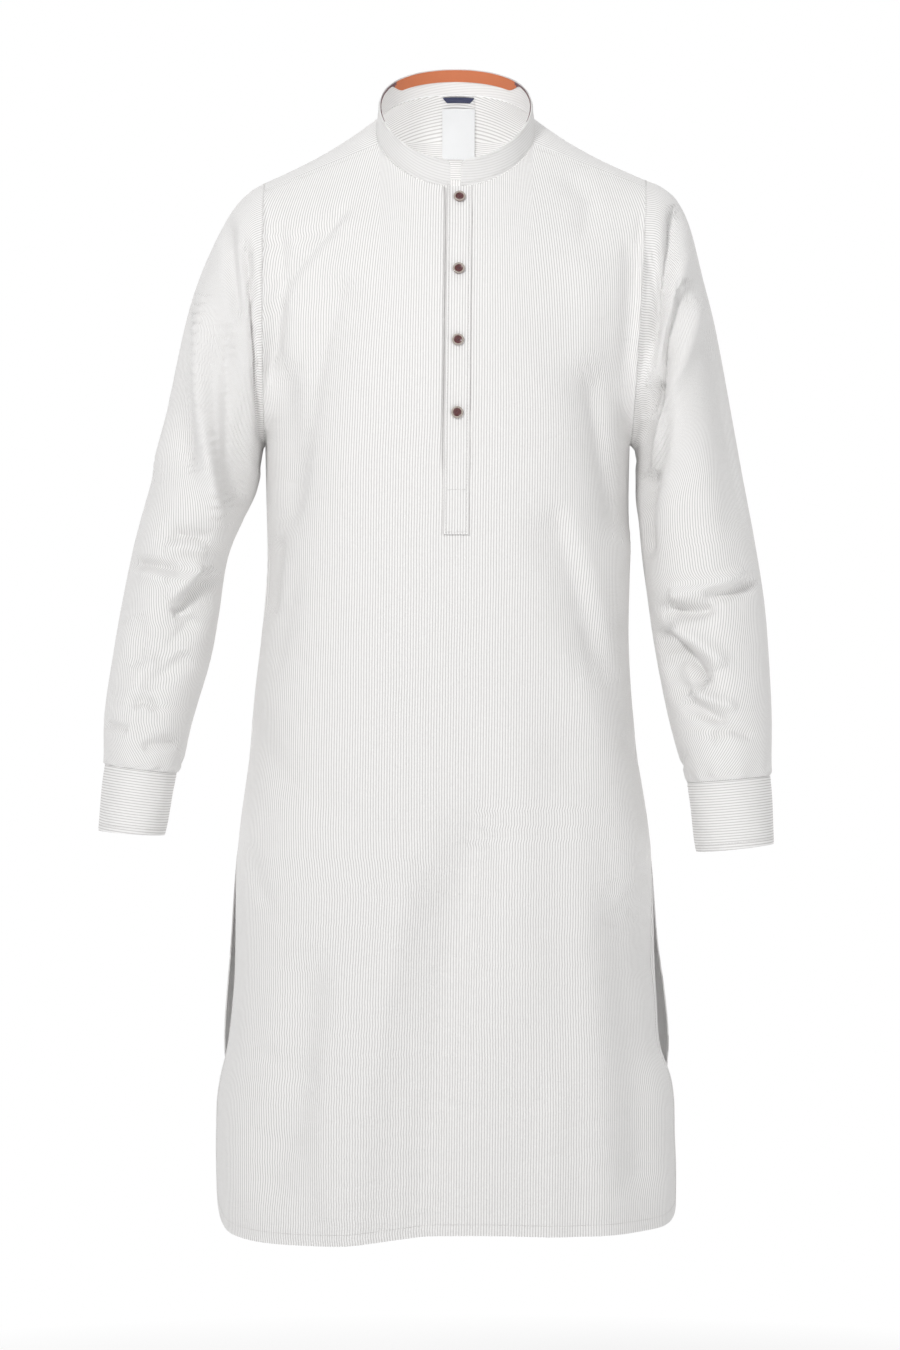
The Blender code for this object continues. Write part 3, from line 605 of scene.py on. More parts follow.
@dataclass(frozen=True)
class BodyShape:
    """The form of the front and back panels."""

    neck: NeckShape = field(default_factory=NeckShape)
    square: float = 2.4
    chest_square: float = 1.65
    pit_z: float = -0.302
    hem_z: float = -1.066
    vent_top_z: float = -0.700
    placket_end_z: float = -0.393
    slit_end_z: float = -0.349
    placket_x: float = 0.0072
    placket_lean: float = 0.011
    placket_half: float = 0.0125
    placket_u: float = 0.044
    slit_u: float = 0.0215
    neck_u: float = 0.34
    label_u: float = 0.1
    yoke_front: float = math.radians(22)
    yoke_back: float = math.radians(47)
    seam_y: float = 0.105
    seam_z: float = -0.030
    first_button_z: float = -0.068
    button_pitch: float = 0.070
    neck_front_z: float = -0.056
    fold_scale: float = 1.3
    crease_scale: float = 1.6
    corner_from: float = 0.78
    corner_rise: tuple = (0.035, 0.014)

    def level_of(self, z: float) -> float:
        """Level of a height below the armpits: 0 at the armpits, -1 at the hem."""
        return -(self.pit_z - z) / (self.pit_z - self.hem_z)

    def centre_x(self, z: Array) -> Array:
        """Middle line of the placket at a height."""
        return self.placket_x + self.placket_lean * (z - self.first_button_z)

    def back_seam(self, across: Array) -> Array:
        """The yoke's back seam, from the wearer's right armhole (-1) to the left (1).

        Args:
            across: Places along it.

        Returns:
            The points, one for each place.
        """
        right = RIGHT_SLEEVE.points(0.0, np.array(-self.yoke_back))
        left = LEFT_SLEEVE.points(0.0, np.array(-self.yoke_back))
        ends = right + (left - right) * ((across + 1) / 2)[..., None]
        belly = (1 - np.abs(across) ** self.square) ** (1 / self.square)
        y = ends[..., 1] + (self.seam_y - ends[..., 1]) * belly
        z = ends[..., 2] + (self.seam_z - ends[..., 2]) * (1 - np.abs(across) ** 1.7)
        return np.stack([ends[..., 0], y, z], -1)

    def front_top(self, u: Array) -> Array:
        """Top edge of the front: shoulder seams outside, and the neck seam between them.

        Args:
            u: Places across the front.

        Returns:
            The points, one for each place.
        """
        marks = [-self.neck_u, -self.placket_u, 0, self.placket_u, self.neck_u]
        middle = self.centre_x(self.neck_front_z)
        places = np.array([middle - self.placket_half, middle, middle + self.placket_half])
        angles = np.arcsin((places - self.neck.x) / self.neck.half_width)
        side_angle = self.neck.side_angle
        points = self.neck.point(np.interp(u, marks, [-side_angle, *angles, side_angle]))
        for shape in (RIGHT_SLEEVE, LEFT_SLEEVE):
            start = self.neck.point(shape.side * side_angle)
            end = shape.points(0.0, np.array(self.yoke_front))
            share = (shape.side * u - self.neck_u) / (1 - self.neck_u)
            seam = start + (end - start) * share[:, None]
            points = np.where((shape.side * u > self.neck_u)[:, None], seam, points)
        return points

    def hem_height(self, u: Array, rows: Sequence[Hem]) -> Array:
        """Height of a hem across its panel, with its corners rounded.

        Args:
            u: Places across the panel.
            rows: The hem's table.

        Returns:
            Heights, one for each place.
        """
        z = smooth(u, column(rows, "across", 1.0), column(rows, "z"))
        t = np.clip((np.abs(u) - self.corner_from) / (1 - self.corner_from), 0, 1)
        return z + np.where(u < 0, *self.corner_rise) * (1 - np.sqrt(1 - 0.98 * t * t))

    def lower_edges(self, z: float, front: bool) -> tuple[float, float, float, float]:
        """Side places, depth and side gap of a panel at a height below the armpits.

        Args:
            z: The height.
            front: Whether it is the front panel.

        Returns:
            The left and right sides' x, the middle's depth and the sides' gap in depth.
        """
        name = "front" if front else "back"
        known = column(BODY, "z")
        left = smooth(z, known, column(BODY, "left"))
        right = smooth(z, known, column(BODY, "right"))
        depth = abs(smooth(z, known, column(BODY, name)))
        edge = SEAM / 2
        if z < self.vent_top_z:
            where = column(VENTS, "z")
            left += smooth(z, where, column(VENTS, name + "_left"))
            right -= smooth(z, where, column(VENTS, name + "_right"))
            edge += max(0.0, smooth(z, where, column(VENTS, name + "_gap")))
        return left, right, depth, edge

    def row(self, u: Array, level: float, front: bool) -> Array:
        """One row of a panel without its folds, drawn to the panel's top edge.

        Args:
            u: Places across the panel, from -1 at the wearer's right to 1.
            level: -1 is the hem, 0 the armpits and 1 the top edge.
            front: Whether it is the front panel.

        Returns:
            The row's points.
        """
        points = self.plain_row(u, level, front)
        if level > 0:
            top = self.front_top(u) if front else self.back_seam(u)
            points[:, :2] += (top - self.plain_row(u, 1.0, front))[:, :2] * level**3
        return points

    def plain_row(self, u: Array, level: float, front: bool) -> Array:
        """A panel's row from side to side, before it is drawn to the top edge.

        Args:
            u: Places across the panel, from -1 at the wearer's right to 1.
            level: -1 is the hem, 0 the armpits and 1 the top edge.
            front: Whether it is the front panel.

        Returns:
            The row's points.
        """
        sign = -1 if front else 1
        top = self.front_top(u) if front else self.back_seam(u)
        if level <= 0:
            flat_z = self.pit_z + level * (self.pit_z - self.hem_z)
            hem = self.hem_height(u, FRONT_HEM if front else BACK_HEM)
            z = flat_z + (hem - self.hem_z) * ease((-level - 0.75) / 0.25)
            left, right, depth, edge = self.lower_edges(flat_z, front)
        else:
            seam_angle = self.yoke_front if front else self.yoke_back
            angle = np.array(math.pi + (seam_angle - math.pi) * level)
            ends = [shape.points(0.0, -sign * angle) for shape in (RIGHT_SLEEVE, LEFT_SLEEVE)]
            left, right = ends[0][0] + SEAM / 2, ends[1][0] - SEAM / 2
            name = "front" if front else "back"
            depth = abs(smooth(level, column(CHEST, "level", 1.0), column(CHEST, name)))
            edge = max(SEAM / 2, abs(ends[0][1]))
            corners = np.array([-1.0, 1.0])
            corners = self.front_top(corners) if front else self.back_seam(corners)
            rise = [(e[2] - self.pit_z) / (c[2] - self.pit_z) for e, c in zip(ends, corners)]
            share = np.where(u < 0, rise[0], rise[1])
            z = self.pit_z + (top[:, 2] - self.pit_z) * (level + (share - level) * np.abs(u) ** 6)
            flat_z = self.pit_z + level * (self.neck_front_z - self.pit_z)
        square = self.square + (self.chest_square - self.square) * ease(level / 0.45)
        reach = edge / depth
        grow = (1 - reach**square) ** (1 / square)
        end_angle = math.atan2(grow, reach)
        middle = self.centre_x(flat_z) if front else (left + right) / 2
        half = np.where(u < 0, middle - left, right - middle) / grow
        turn = u * end_angle
        if front:
            narrow = self.placket_half / (half * end_angle * self.placket_u)
            turn = turn * (1 + (narrow - 1) * (1 - np.abs(u)) ** 4)
        sine, cosine = np.sin(turn), np.cos(turn)
        bulge = (np.abs(sine) ** square + np.abs(cosine) ** square) ** (-1 / square)
        return np.stack([middle + half * sine * bulge, sign * depth * cosine * bulge, z], -1)

    def grid(self, u: Array, levels: Array, front: bool) -> Array:
        """Points of a panel with its folds pressed in, none of them at a seam.

        Args:
            u: Places across.
            levels: Levels of its rows.
            front: Whether it is the front panel.

        Returns:
            Points as rows by columns by 3.
        """
        grid = np.array([self.row(u, level, front) for level in levels])
        folds = FRONT_FOLDS if front else BACK_FOLDS
        height = fold_height(grid[..., 0], grid[..., 2], folds)
        rows = np.asarray(levels)[:, None]
        free = ease((1 - np.abs(u)) / 0.12)[None, :] * ease((1 - rows) / 0.12)
        fine = fold_height(grid[..., 0], grid[..., 2], FRONT_CREASES if front else BACK_CREASES)
        near = ease((1 - np.abs(u)) / 0.02)[None, :] * ease((1 - rows) / 0.03)
        if front:
            clear = ease((np.abs(u) - self.placket_u) / 0.1)[None, :] ** (rows > -0.16)
            free, near = free * clear, near * clear
        total = self.fold_scale * height * free + self.crease_scale * fine * near
        return grid + outward(grid) * total[..., None]


SHAPE = BodyShape()


def length_along(grid: Array, axis: int, start: int = 0) -> Array:
    """Length of cloth from one row or column to each point, along the grid.

    Args:
        grid: Points as rows by columns by 3.
        axis: 0 to measure down the columns, 1 across the rows.
        start: The row or column from which it is measured.

    Returns:
        Lengths, one for each point.
    """
    steps = np.linalg.norm(np.diff(grid, axis=axis), axis=-1)
    pad = [(1, 0), (0, 0)] if axis == 0 else [(0, 0), (1, 0)]
    total = np.cumsum(np.pad(steps, pad), axis=axis)
    return total - np.take(total, [start], axis=axis)


def cloth_measure(grid: Array, start: int = 0) -> Array:
    """Lengths across from one column and down from the first row, for each point."""
    return np.stack([length_along(grid, 1, start), length_along(grid, 0)], -1)


@dataclass
class Cloth:
    """One piece of cloth as a grid of points, with a wall and the cloth's own measure."""

    name: str
    grid: Array
    inward: Array
    measure: Array
    wall: Array | float = 0.0006
    keep: Array | None = None
    wrap: bool = False
    closing: Array | None = None

    def faces(self) -> list[tuple[int, ...]]:
        """Faces of the outer side, the inner side and the rim round every free edge.

        Returns:
            The point numbers of each face.
        """
        rows, columns = self.grid.shape[:2]
        cells = columns if self.wrap else columns - 1
        keep = np.ones((rows - 1, cells), bool) if self.keep is None else self.keep
        below = rows * columns
        i, j = np.nonzero(keep)
        k = (j + 1) % columns
        low, high = i * columns, (i + 1) * columns
        quads = np.stack([low + j, low + k, high + k, high + j], -1)
        if self.flipped(quads):
            quads = quads[:, ::-1]
        edges = np.concatenate([quads[:, [a, (a + 1) % 4]] for a in range(4)])
        key = np.sort(edges, 1)
        _, first, count = np.unique(key, axis=0, return_index=True, return_counts=True)
        free = edges[first[count == 1]]
        rim = np.stack([free[:, 1], free[:, 0], free[:, 0] + below, free[:, 1] + below], -1)
        return np.concatenate([quads, quads[:, ::-1] + below, rim]).tolist()

    def flipped(self, quads: Array) -> bool:
        """Whether faces made in this order would point into the garment.

        Args:
            quads: Point numbers of the outer side's faces.

        Returns:
            True when their order has to be turned round.
        """
        points = self.grid.reshape(-1, 3)
        a, b, d = (points[quads[:, n]] for n in (0, 1, 3))
        away = -self.inward.reshape(-1, 3)[quads[:, 0]]
        return float(np.sum(np.cross(b - a, d - a) * away)) < 0

    def build(self, material: bpy.types.Material) -> bpy.types.Object:
        """Makes the piece's mesh with its measure as a UV map in metres.

        Args:
            material: Its finish.

        Returns:
            The new object.
        """
        wall = np.asarray(self.wall)
        wall = wall[..., None] if wall.ndim else wall
        inner = self.grid + self.inward * wall
        points = np.concatenate([self.grid.reshape(-1, 3), inner.reshape(-1, 3)])
        mesh = bpy.data.meshes.new(self.name)
        mesh.from_pydata(points.tolist(), [], self.faces())
        uv = np.tile(self.measure.reshape(-1, 2), (2, 1))
        corners = np.empty(len(mesh.loops), np.int32)
        mesh.loops.foreach_get("vertex_index", corners)
        values = uv[corners]
        if self.closing is not None:
            self.close_measure(values, corners)
        layer = mesh.uv_layers.new(name="grain")
        layer.data.foreach_set("uv", values.astype(np.float32).ravel())
        return add_piece(self.name, mesh, material)

    def close_measure(self, values: Array, corners: Array) -> None:
        """Gives the last faces round a tube the whole girth instead of nought.

        Args:
            values: The measure at each corner, four for each face; changed in place.
            corners: The point at each corner.
        """
        rows, columns = self.grid.shape[:2]
        place = (corners % (rows * columns)).reshape(-1, 4)
        last = np.any(place % columns == columns - 1, 1) & np.any(place % columns == 0, 1)
        ends = (last[:, None] & (place % columns == 0)).ravel()
        values[ends, 0] = self.closing[place.ravel()[ends] // columns]


def add_piece(name: str, mesh: bpy.types.Mesh, *materials: bpy.types.Material) -> bpy.types.Object:
    """Puts a mesh in the scene as a piece that rides on the garment.

    Args:
        name: The piece's name.
        mesh: Its mesh.
        materials: Its finishes, one for each slot of the mesh.

    Returns:
        The new object.
    """
    for material in materials:
        mesh.materials.append(material)
    mesh.validate()
    used = np.zeros(len(mesh.vertices), bool)
    corners = np.empty(len(mesh.loops), np.int32)
    mesh.loops.foreach_get("vertex_index", corners)
    used[corners] = True
    if not used.all():
        drop_loose(mesh)
    mesh.shade_smooth()
    mesh.set_sharp_from_angle(angle=math.radians(55))
    piece = bpy.data.objects.new(name, mesh)
    bpy.context.scene.collection.objects.link(piece)
    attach(piece, "root")
    LOG.info("made %s with %d faces", name, len(mesh.polygons))
    return piece


def drop_loose(mesh: bpy.types.Mesh) -> None:
    """Removes the points of a mesh that no face uses.

    Args:
        mesh: The mesh.
    """
    work = bmesh.new()
    work.from_mesh(mesh)
    bmesh.ops.delete(work, geom=[v for v in work.verts if not v.link_faces], context="VERTS")
    work.to_mesh(mesh)
    work.free()


class Nodes:
    """Short way to make and join the nodes of one tree."""

    def __init__(self, tree: bpy.types.NodeTree) -> None:
        """Keeps the tree to which nodes are added."""
        self.tree = tree

    def add(self, kind: str, inputs: dict | None = None, **settings: object) -> bpy.types.Node:
        """Adds a node.

        Args:
            kind: Its type's name.
            inputs: Values, or sockets to link, by input name or number.
            settings: The node's own settings.

        Returns:
            The new node.
        """
        node = self.tree.nodes.new(kind)
        for name, value in settings.items():
            setattr(node, name, value)
        for name, value in (inputs or {}).items():
            if isinstance(value, bpy.types.NodeSocket):
                self.tree.links.new(value, node.inputs[name])
            else:
                node.inputs[name].default_value = value
        return node

    def math(self, operation: str, *values: object) -> bpy.types.NodeSocket:
        """Adds a Math node and returns what it gives."""
        node = self.add("ShaderNodeMath", dict(enumerate(values)), operation=operation)
        return node.outputs[0]

    def mix(self, mask: bpy.types.NodeSocket, first: tuple, second: tuple) -> bpy.types.NodeSocket:
        """Mixes two colours by a mask and returns the colour."""
        ends = {0: mask, 6: (*first, 1), 7: (*second, 1)}
        return self.add("ShaderNodeMix", ends, data_type="RGBA").outputs[2]

    def link(self, source: bpy.types.NodeSocket, goal: bpy.types.NodeSocket) -> None:
        """Joins an output to an input."""
        self.tree.links.new(source, goal)


def new_finish(name: str) -> tuple[bpy.types.Material, Nodes, bpy.types.Node]:
    """Starts a material.

    Args:
        name: The material's name.

    Returns:
        The material, its nodes and its surface shader.
    """
    made = bpy.data.materials.new(name)
    made.use_nodes = True
    return made, Nodes(made.node_tree), made.node_tree.nodes["Principled BSDF"]


def new_group(
    name: str, inputs: Sequence[tuple], outputs: Sequence[tuple]
) -> tuple[Nodes, dict, bpy.types.Node]:
    """Starts a shader node group.

    Args:
        name: The group's name.
        inputs: Name, socket type and first value of each input.
        outputs: Name and socket type of each output.

    Returns:
        Its nodes, its input sockets by name, and its output node.
    """
    tree = bpy.data.node_groups.new(name, "ShaderNodeTree")
    for label, kind, value in inputs:
        socket = tree.interface.new_socket(label, in_out="INPUT", socket_type=kind)
        if value is not None:
            socket.default_value = value
    for label, kind in outputs:
        tree.interface.new_socket(label, in_out="OUTPUT", socket_type=kind)
    nodes = Nodes(tree)
    source = nodes.add("NodeGroupInput")
    sink = nodes.add("NodeGroupOutput")
    return nodes, {socket.name: socket for socket in source.outputs}, sink


THREAD_PITCH = 0.0007
STRIPE_WANDER = 0.0012
EDGE_BLUR = 0.08


def stripe_group() -> bpy.types.NodeTree:
    """Fine woven stripes: a mask that is 1 on a stripe, from the cloth's own measure.

    Returns:
        The node group.
    """
    nodes, given, sink = new_group(
        "fine_stripes",
        [
            ("Measure", "NodeSocketVector", None),
            ("Pitch", "NodeSocketFloat", 0.0026),
            ("Share", "NodeSocketFloat", 0.4),
            ("Across", "NodeSocketFloat", 0.0),
        ],
        [("Mask", "NodeSocketFloat"), ("Weave", "NodeSocketFloat")],
    )
    parts = nodes.add("ShaderNodeSeparateXYZ", {0: given["Measure"]})
    flip = nodes.math("SUBTRACT", parts.outputs[1], parts.outputs[0])
    chosen = nodes.math("ADD", parts.outputs[0], nodes.math("MULTIPLY", flip, given["Across"]))
    wander = nodes.add("ShaderNodeTexNoise", {"Vector": given["Measure"], "Scale": 14.0, "Detail": 1.0})
    shift = nodes.math("MULTIPLY", nodes.math("SUBTRACT", wander.outputs[0], 0.5), STRIPE_WANDER)
    turns = nodes.math("DIVIDE", nodes.math("ADD", chosen, shift), given["Pitch"])
    phase = nodes.math("ABSOLUTE", nodes.math("SUBTRACT", nodes.math("FRACT", turns), 0.5))
    edge = nodes.math("MULTIPLY", given["Share"], 0.5)
    outside = nodes.math("ADD", edge, EDGE_BLUR)
    inside = nodes.math("SUBTRACT", edge, EDGE_BLUR)
    ramp = nodes.add("ShaderNodeMapRange", {"Value": phase, "From Min": outside, "From Max": inside})
    rate = 2 * math.pi / THREAD_PITCH
    threads = [nodes.math("SINE", nodes.math("MULTIPLY", parts.outputs[n], rate)) for n in (0, 1)]
    weave = nodes.math("MULTIPLY", threads[0], threads[1])
    nodes.link(ramp.outputs[0], sink.inputs["Mask"])
    nodes.link(weave, sink.inputs["Weave"])
    return nodes.tree


def crinkle_group() -> bpy.types.NodeTree:
    """Small soft wrinkles of washed cotton, as a height.

    Returns:
        The node group.
    """
    nodes, given, sink = new_group(
        "soft_crinkle",
        [
            ("Place", "NodeSocketVector", None),
            ("Scale", "NodeSocketFloat", 24.0),
            ("Flatten", "NodeSocketFloat", 2.2),
        ],
        [("Height", "NodeSocketFloat")],
    )
    stretch = nodes.add("ShaderNodeCombineXYZ", {0: 1.0, 1: 1.0, 2: given["Flatten"]})
    place = nodes.add(
        "ShaderNodeVectorMath", {0: given["Place"], 1: stretch.outputs[0]}, operation="MULTIPLY"
    )
    broad = nodes.add(
        "ShaderNodeTexNoise",
        {
            "Vector": place.outputs[0],
            "Scale": given["Scale"],
            "Detail": 3.0,
            "Roughness": 0.5,
            "Distortion": 0.6,
        },
    )
    fine = nodes.add(
        "ShaderNodeTexNoise",
        {
            "Vector": place.outputs[0],
            "Scale": nodes.math("MULTIPLY", given["Scale"], 4.5),
            "Detail": 2.0,
            "Roughness": 0.55,
        },
    )
    ridge = nodes.math("ABSOLUTE", nodes.math("SUBTRACT", fine.outputs[0], 0.5))
    total = nodes.math("SUBTRACT", broad.outputs[0], nodes.math("MULTIPLY", ridge, 0.35))
    nodes.link(total, sink.inputs["Height"])
    return nodes.tree


@dataclass(frozen=True)
class Cotton:
    """The striped shirting of the garment."""

    name: str
    grain: Grain = Grain.ALONG
    ground: tuple = (0.865, 0.86, 0.85)
    stripe: tuple = (0.60, 0.585, 0.58)
    pitch: float = 0.00262
    share: float = 0.36
    crinkle: float = 0.0014

    def material(self, groups: dict[str, bpy.types.NodeTree]) -> bpy.types.Material:
        """Builds the finish.

        Args:
            groups: The shared node groups by name.

        Returns:
            The material.
        """
        made, nodes, shader = new_finish(self.name)
        measure = nodes.add("ShaderNodeUVMap", uv_map="grain")
        place = nodes.add("ShaderNodeTexCoord")
        stripes = nodes.add("ShaderNodeGroup", node_tree=groups["stripes"])
        nodes.link(measure.outputs[0], stripes.inputs["Measure"])
        stripes.inputs["Pitch"].default_value = self.pitch
        stripes.inputs["Share"].default_value = self.share
        stripes.inputs["Across"].default_value = 1.0 if self.grain is Grain.AROUND else 0.0
        crinkle = nodes.add("ShaderNodeGroup", node_tree=groups["crinkle"])
        nodes.link(place.outputs["Object"], crinkle.inputs["Place"])
        colour = nodes.mix(stripes.outputs["Mask"], self.ground, self.stripe)
        nodes.link(colour, shader.inputs["Base Color"])
        rough = nodes.add(
            "ShaderNodeMapRange",
            {"Value": crinkle.outputs["Height"], "To Min": 0.78, "To Max": 0.92},
        )
        nodes.link(rough.outputs[0], shader.inputs["Roughness"])
        soft = nodes.add(
            "ShaderNodeBump",
            {"Height": crinkle.outputs["Height"], "Distance": self.crinkle, "Strength": 1.0},
        )
        cloth = nodes.add(
            "ShaderNodeBump",
            {
                "Height": nodes.math("ADD", stripes.outputs["Weave"], stripes.outputs["Mask"]),
                "Distance": 0.00005,
                "Strength": 0.6,
                "Normal": soft.outputs[0],
            },
        )
        nodes.link(cloth.outputs[0], shader.inputs["Normal"])
        shader.inputs["Sheen Weight"].default_value = 0.12
        shader.inputs["Sheen Roughness"].default_value = 0.6
        shader.inputs["Specular IOR Level"].default_value = 0.25
        return made


@dataclass(frozen=True)
class PlainTape:
    """A woven tape of one colour, with its weave and a slight change of tone."""

    name: str
    colour: tuple
    roughness: float = 0.7
    pitch: float = 0.0008

    def material(self, groups: dict[str, bpy.types.NodeTree]) -> bpy.types.Material:
        """Builds the finish.

        Args:
            groups: The shared node groups by name.

        Returns:
            The material.
        """
        made, nodes, shader = new_finish(self.name)
        measure = nodes.add("ShaderNodeUVMap", uv_map="grain")
        weave = nodes.add("ShaderNodeGroup", node_tree=groups["stripes"])
        nodes.link(measure.outputs[0], weave.inputs["Measure"])
        weave.inputs["Pitch"].default_value = self.pitch
        darker = tuple(0.82 * c for c in self.colour)
        colour = nodes.mix(weave.outputs["Mask"], self.colour, darker)
        nodes.link(colour, shader.inputs["Base Color"])
        bump = nodes.add(
            "ShaderNodeBump", {"Height": weave.outputs["Weave"], "Distance": 0.00008, "Strength": 0.7}
        )
        nodes.link(bump.outputs[0], shader.inputs["Normal"])
        shader.inputs["Roughness"].default_value = self.roughness
        shader.inputs["Sheen Weight"].default_value = 0.1
        return made


@dataclass(frozen=True)
class ButtonResin:
    """Moulded button resin with a faint mottle."""

    name: str
    light: tuple
    dark: tuple
    roughness: float = 0.34

    def material(self) -> bpy.types.Material:
        """Builds the finish.

        Returns:
            The material.
        """
        made, nodes, shader = new_finish(self.name)
        place = nodes.add("ShaderNodeTexCoord")
        mottle = nodes.add(
            "ShaderNodeTexNoise", {"Vector": place.outputs["Object"], "Scale": 420.0, "Detail": 3.0}
        )
        colour = nodes.mix(mottle.outputs[0], self.light, self.dark)
        nodes.link(colour, shader.inputs["Base Color"])
        bump = nodes.add(
            "ShaderNodeBump", {"Height": mottle.outputs[0], "Distance": 0.0001, "Strength": 0.3}
        )
        nodes.link(bump.outputs[0], shader.inputs["Normal"])
        shader.inputs["Roughness"].default_value = self.roughness
        shader.inputs["Coat Weight"].default_value = 0.2
        return made


class Wardrobe:
    """All the finishes of the garment, built once."""

    def __init__(self) -> None:
        """Builds the node groups and the materials."""
        groups = {"stripes": stripe_group(), "crinkle": crinkle_group()}
        self.body = Cotton("striped_cotton").material(groups)
        self.band = Cotton("striped_cotton_bands", crinkle=0.0016).material(groups)
        self.around = Cotton("striped_cotton_across", Grain.AROUND, crinkle=0.0018).material(groups)
        # The collar's copy of the cotton has a darker ground, painted shade over the band, and fainter
        # stripes
        self.collar = Cotton(
            "striped_cotton_collar_painted_shade",
            Grain.AROUND,
            ground=(0.775, 0.768, 0.76),
            stripe=(0.69, 0.68, 0.672),
            crinkle=0.0012,
        ).material(groups)
        self.facing = PlainTape("facing_tape", (0.60, 0.175, 0.07)).material(groups)
        # Dark tape: painted shade on the collar strip's ends, and the button threads' own dark colour
        self.edge = PlainTape("painted_shade_and_thread_tape", (0.16, 0.075, 0.085)).material(groups)
        self.loop = PlainTape("loop_tape", (0.035, 0.042, 0.10)).material(groups)
        self.label = PlainTape("label_satin", (0.86, 0.87, 0.88), 0.45, 0.0005).material(groups)
        self.thread = PlainTape("sewing_thread", (0.74, 0.73, 0.72), 0.6, 0.0004).material(groups)
        self.resin = ButtonResin("button_resin", (0.16, 0.05, 0.05), (0.05, 0.018, 0.02)).material()
        self.rim = ButtonResin("button_rim", (0.46, 0.41, 0.36), (0.33, 0.28, 0.25), 0.4).material()


# A stitch's rings, by share of its length, and how far each rises, by share of its thickness
STITCH_RINGS = np.array([0.0, 0.18, 0.5, 0.82, 1.0])
STITCH_RISE = np.array([-0.3, 0.75, 1.0, 0.75, -0.3])
STITCH_POINTS = 4 * len(STITCH_RINGS)


@dataclass
class Sewing:
    """A row of machine stitches along a path on the cloth."""

    stitch: float = 0.0022
    gap: float = 0.0006
    thick: float = 0.00022
    points: list = field(default_factory=list)
    faces: list = field(default_factory=list)

    def run(self, path: Array, normal: Array) -> None:
        """Adds stitches along a path.

        Args:
            path: Points on the cloth's outer side.
            normal: Unit directions out of the cloth there.
        """
        steps = np.linalg.norm(np.diff(path, axis=0), axis=1)
        total = np.concatenate([[0], np.cumsum(steps)])
        starts = np.arange(0.001, total[-1] - self.stitch, self.stitch + self.gap)
        if not len(starts):
            return
        marks = starts[:, None] + STITCH_RINGS[None] * self.stitch
        spots = np.stack([np.interp(marks, total, path[:, k]) for k in range(3)], -1)
        out = unit(np.stack([np.interp(marks, total, normal[:, k]) for k in range(3)], -1))
        along = unit(spots[:, -1] - spots[:, 0])[:, None]
        side = unit(np.cross(along, out)) * self.thick
        middle = spots + out * STITCH_RISE[None, :, None] * self.thick
        rise = out * self.thick
        ring = np.stack([middle + side, middle + rise, middle - side, middle - rise], 2)
        base = len(self.points)
        self.points.extend(ring.reshape(-1, 3).tolist())
        sides = [
            (a * 4 + b, a * 4 + (b + 1) % 4, (a + 1) * 4 + (b + 1) % 4, (a + 1) * 4 + b)
            for a in range(len(STITCH_RINGS) - 1)
            for b in range(4)
        ]
        sides = np.array(sides + [(3, 2, 1, 0), tuple(range(STITCH_POINTS - 4, STITCH_POINTS))])
        first = base + np.arange(len(starts)) * STITCH_POINTS
        self.faces.extend((first[:, None, None] + sides[None]).reshape(-1, 4).tolist())

    def build(self, name: str, material: bpy.types.Material) -> bpy.types.Object:
        """Makes all the stitches one piece.

        Args:
            name: The piece's name.
            material: The thread's finish.

        Returns:
            The new object.
        """
        mesh = bpy.data.meshes.new(name)
        mesh.from_pydata(self.points, [], self.faces)
        layer = mesh.uv_layers.new(name="grain")
        across = np.array(self.points)[:, [0, 2]]
        corners = np.empty(len(mesh.loops), np.int32)
        mesh.loops.foreach_get("vertex_index", corners)
        layer.data.foreach_set("uv", across[corners].astype(np.float32).ravel())
        piece = add_piece(name, mesh, material)
        return piece


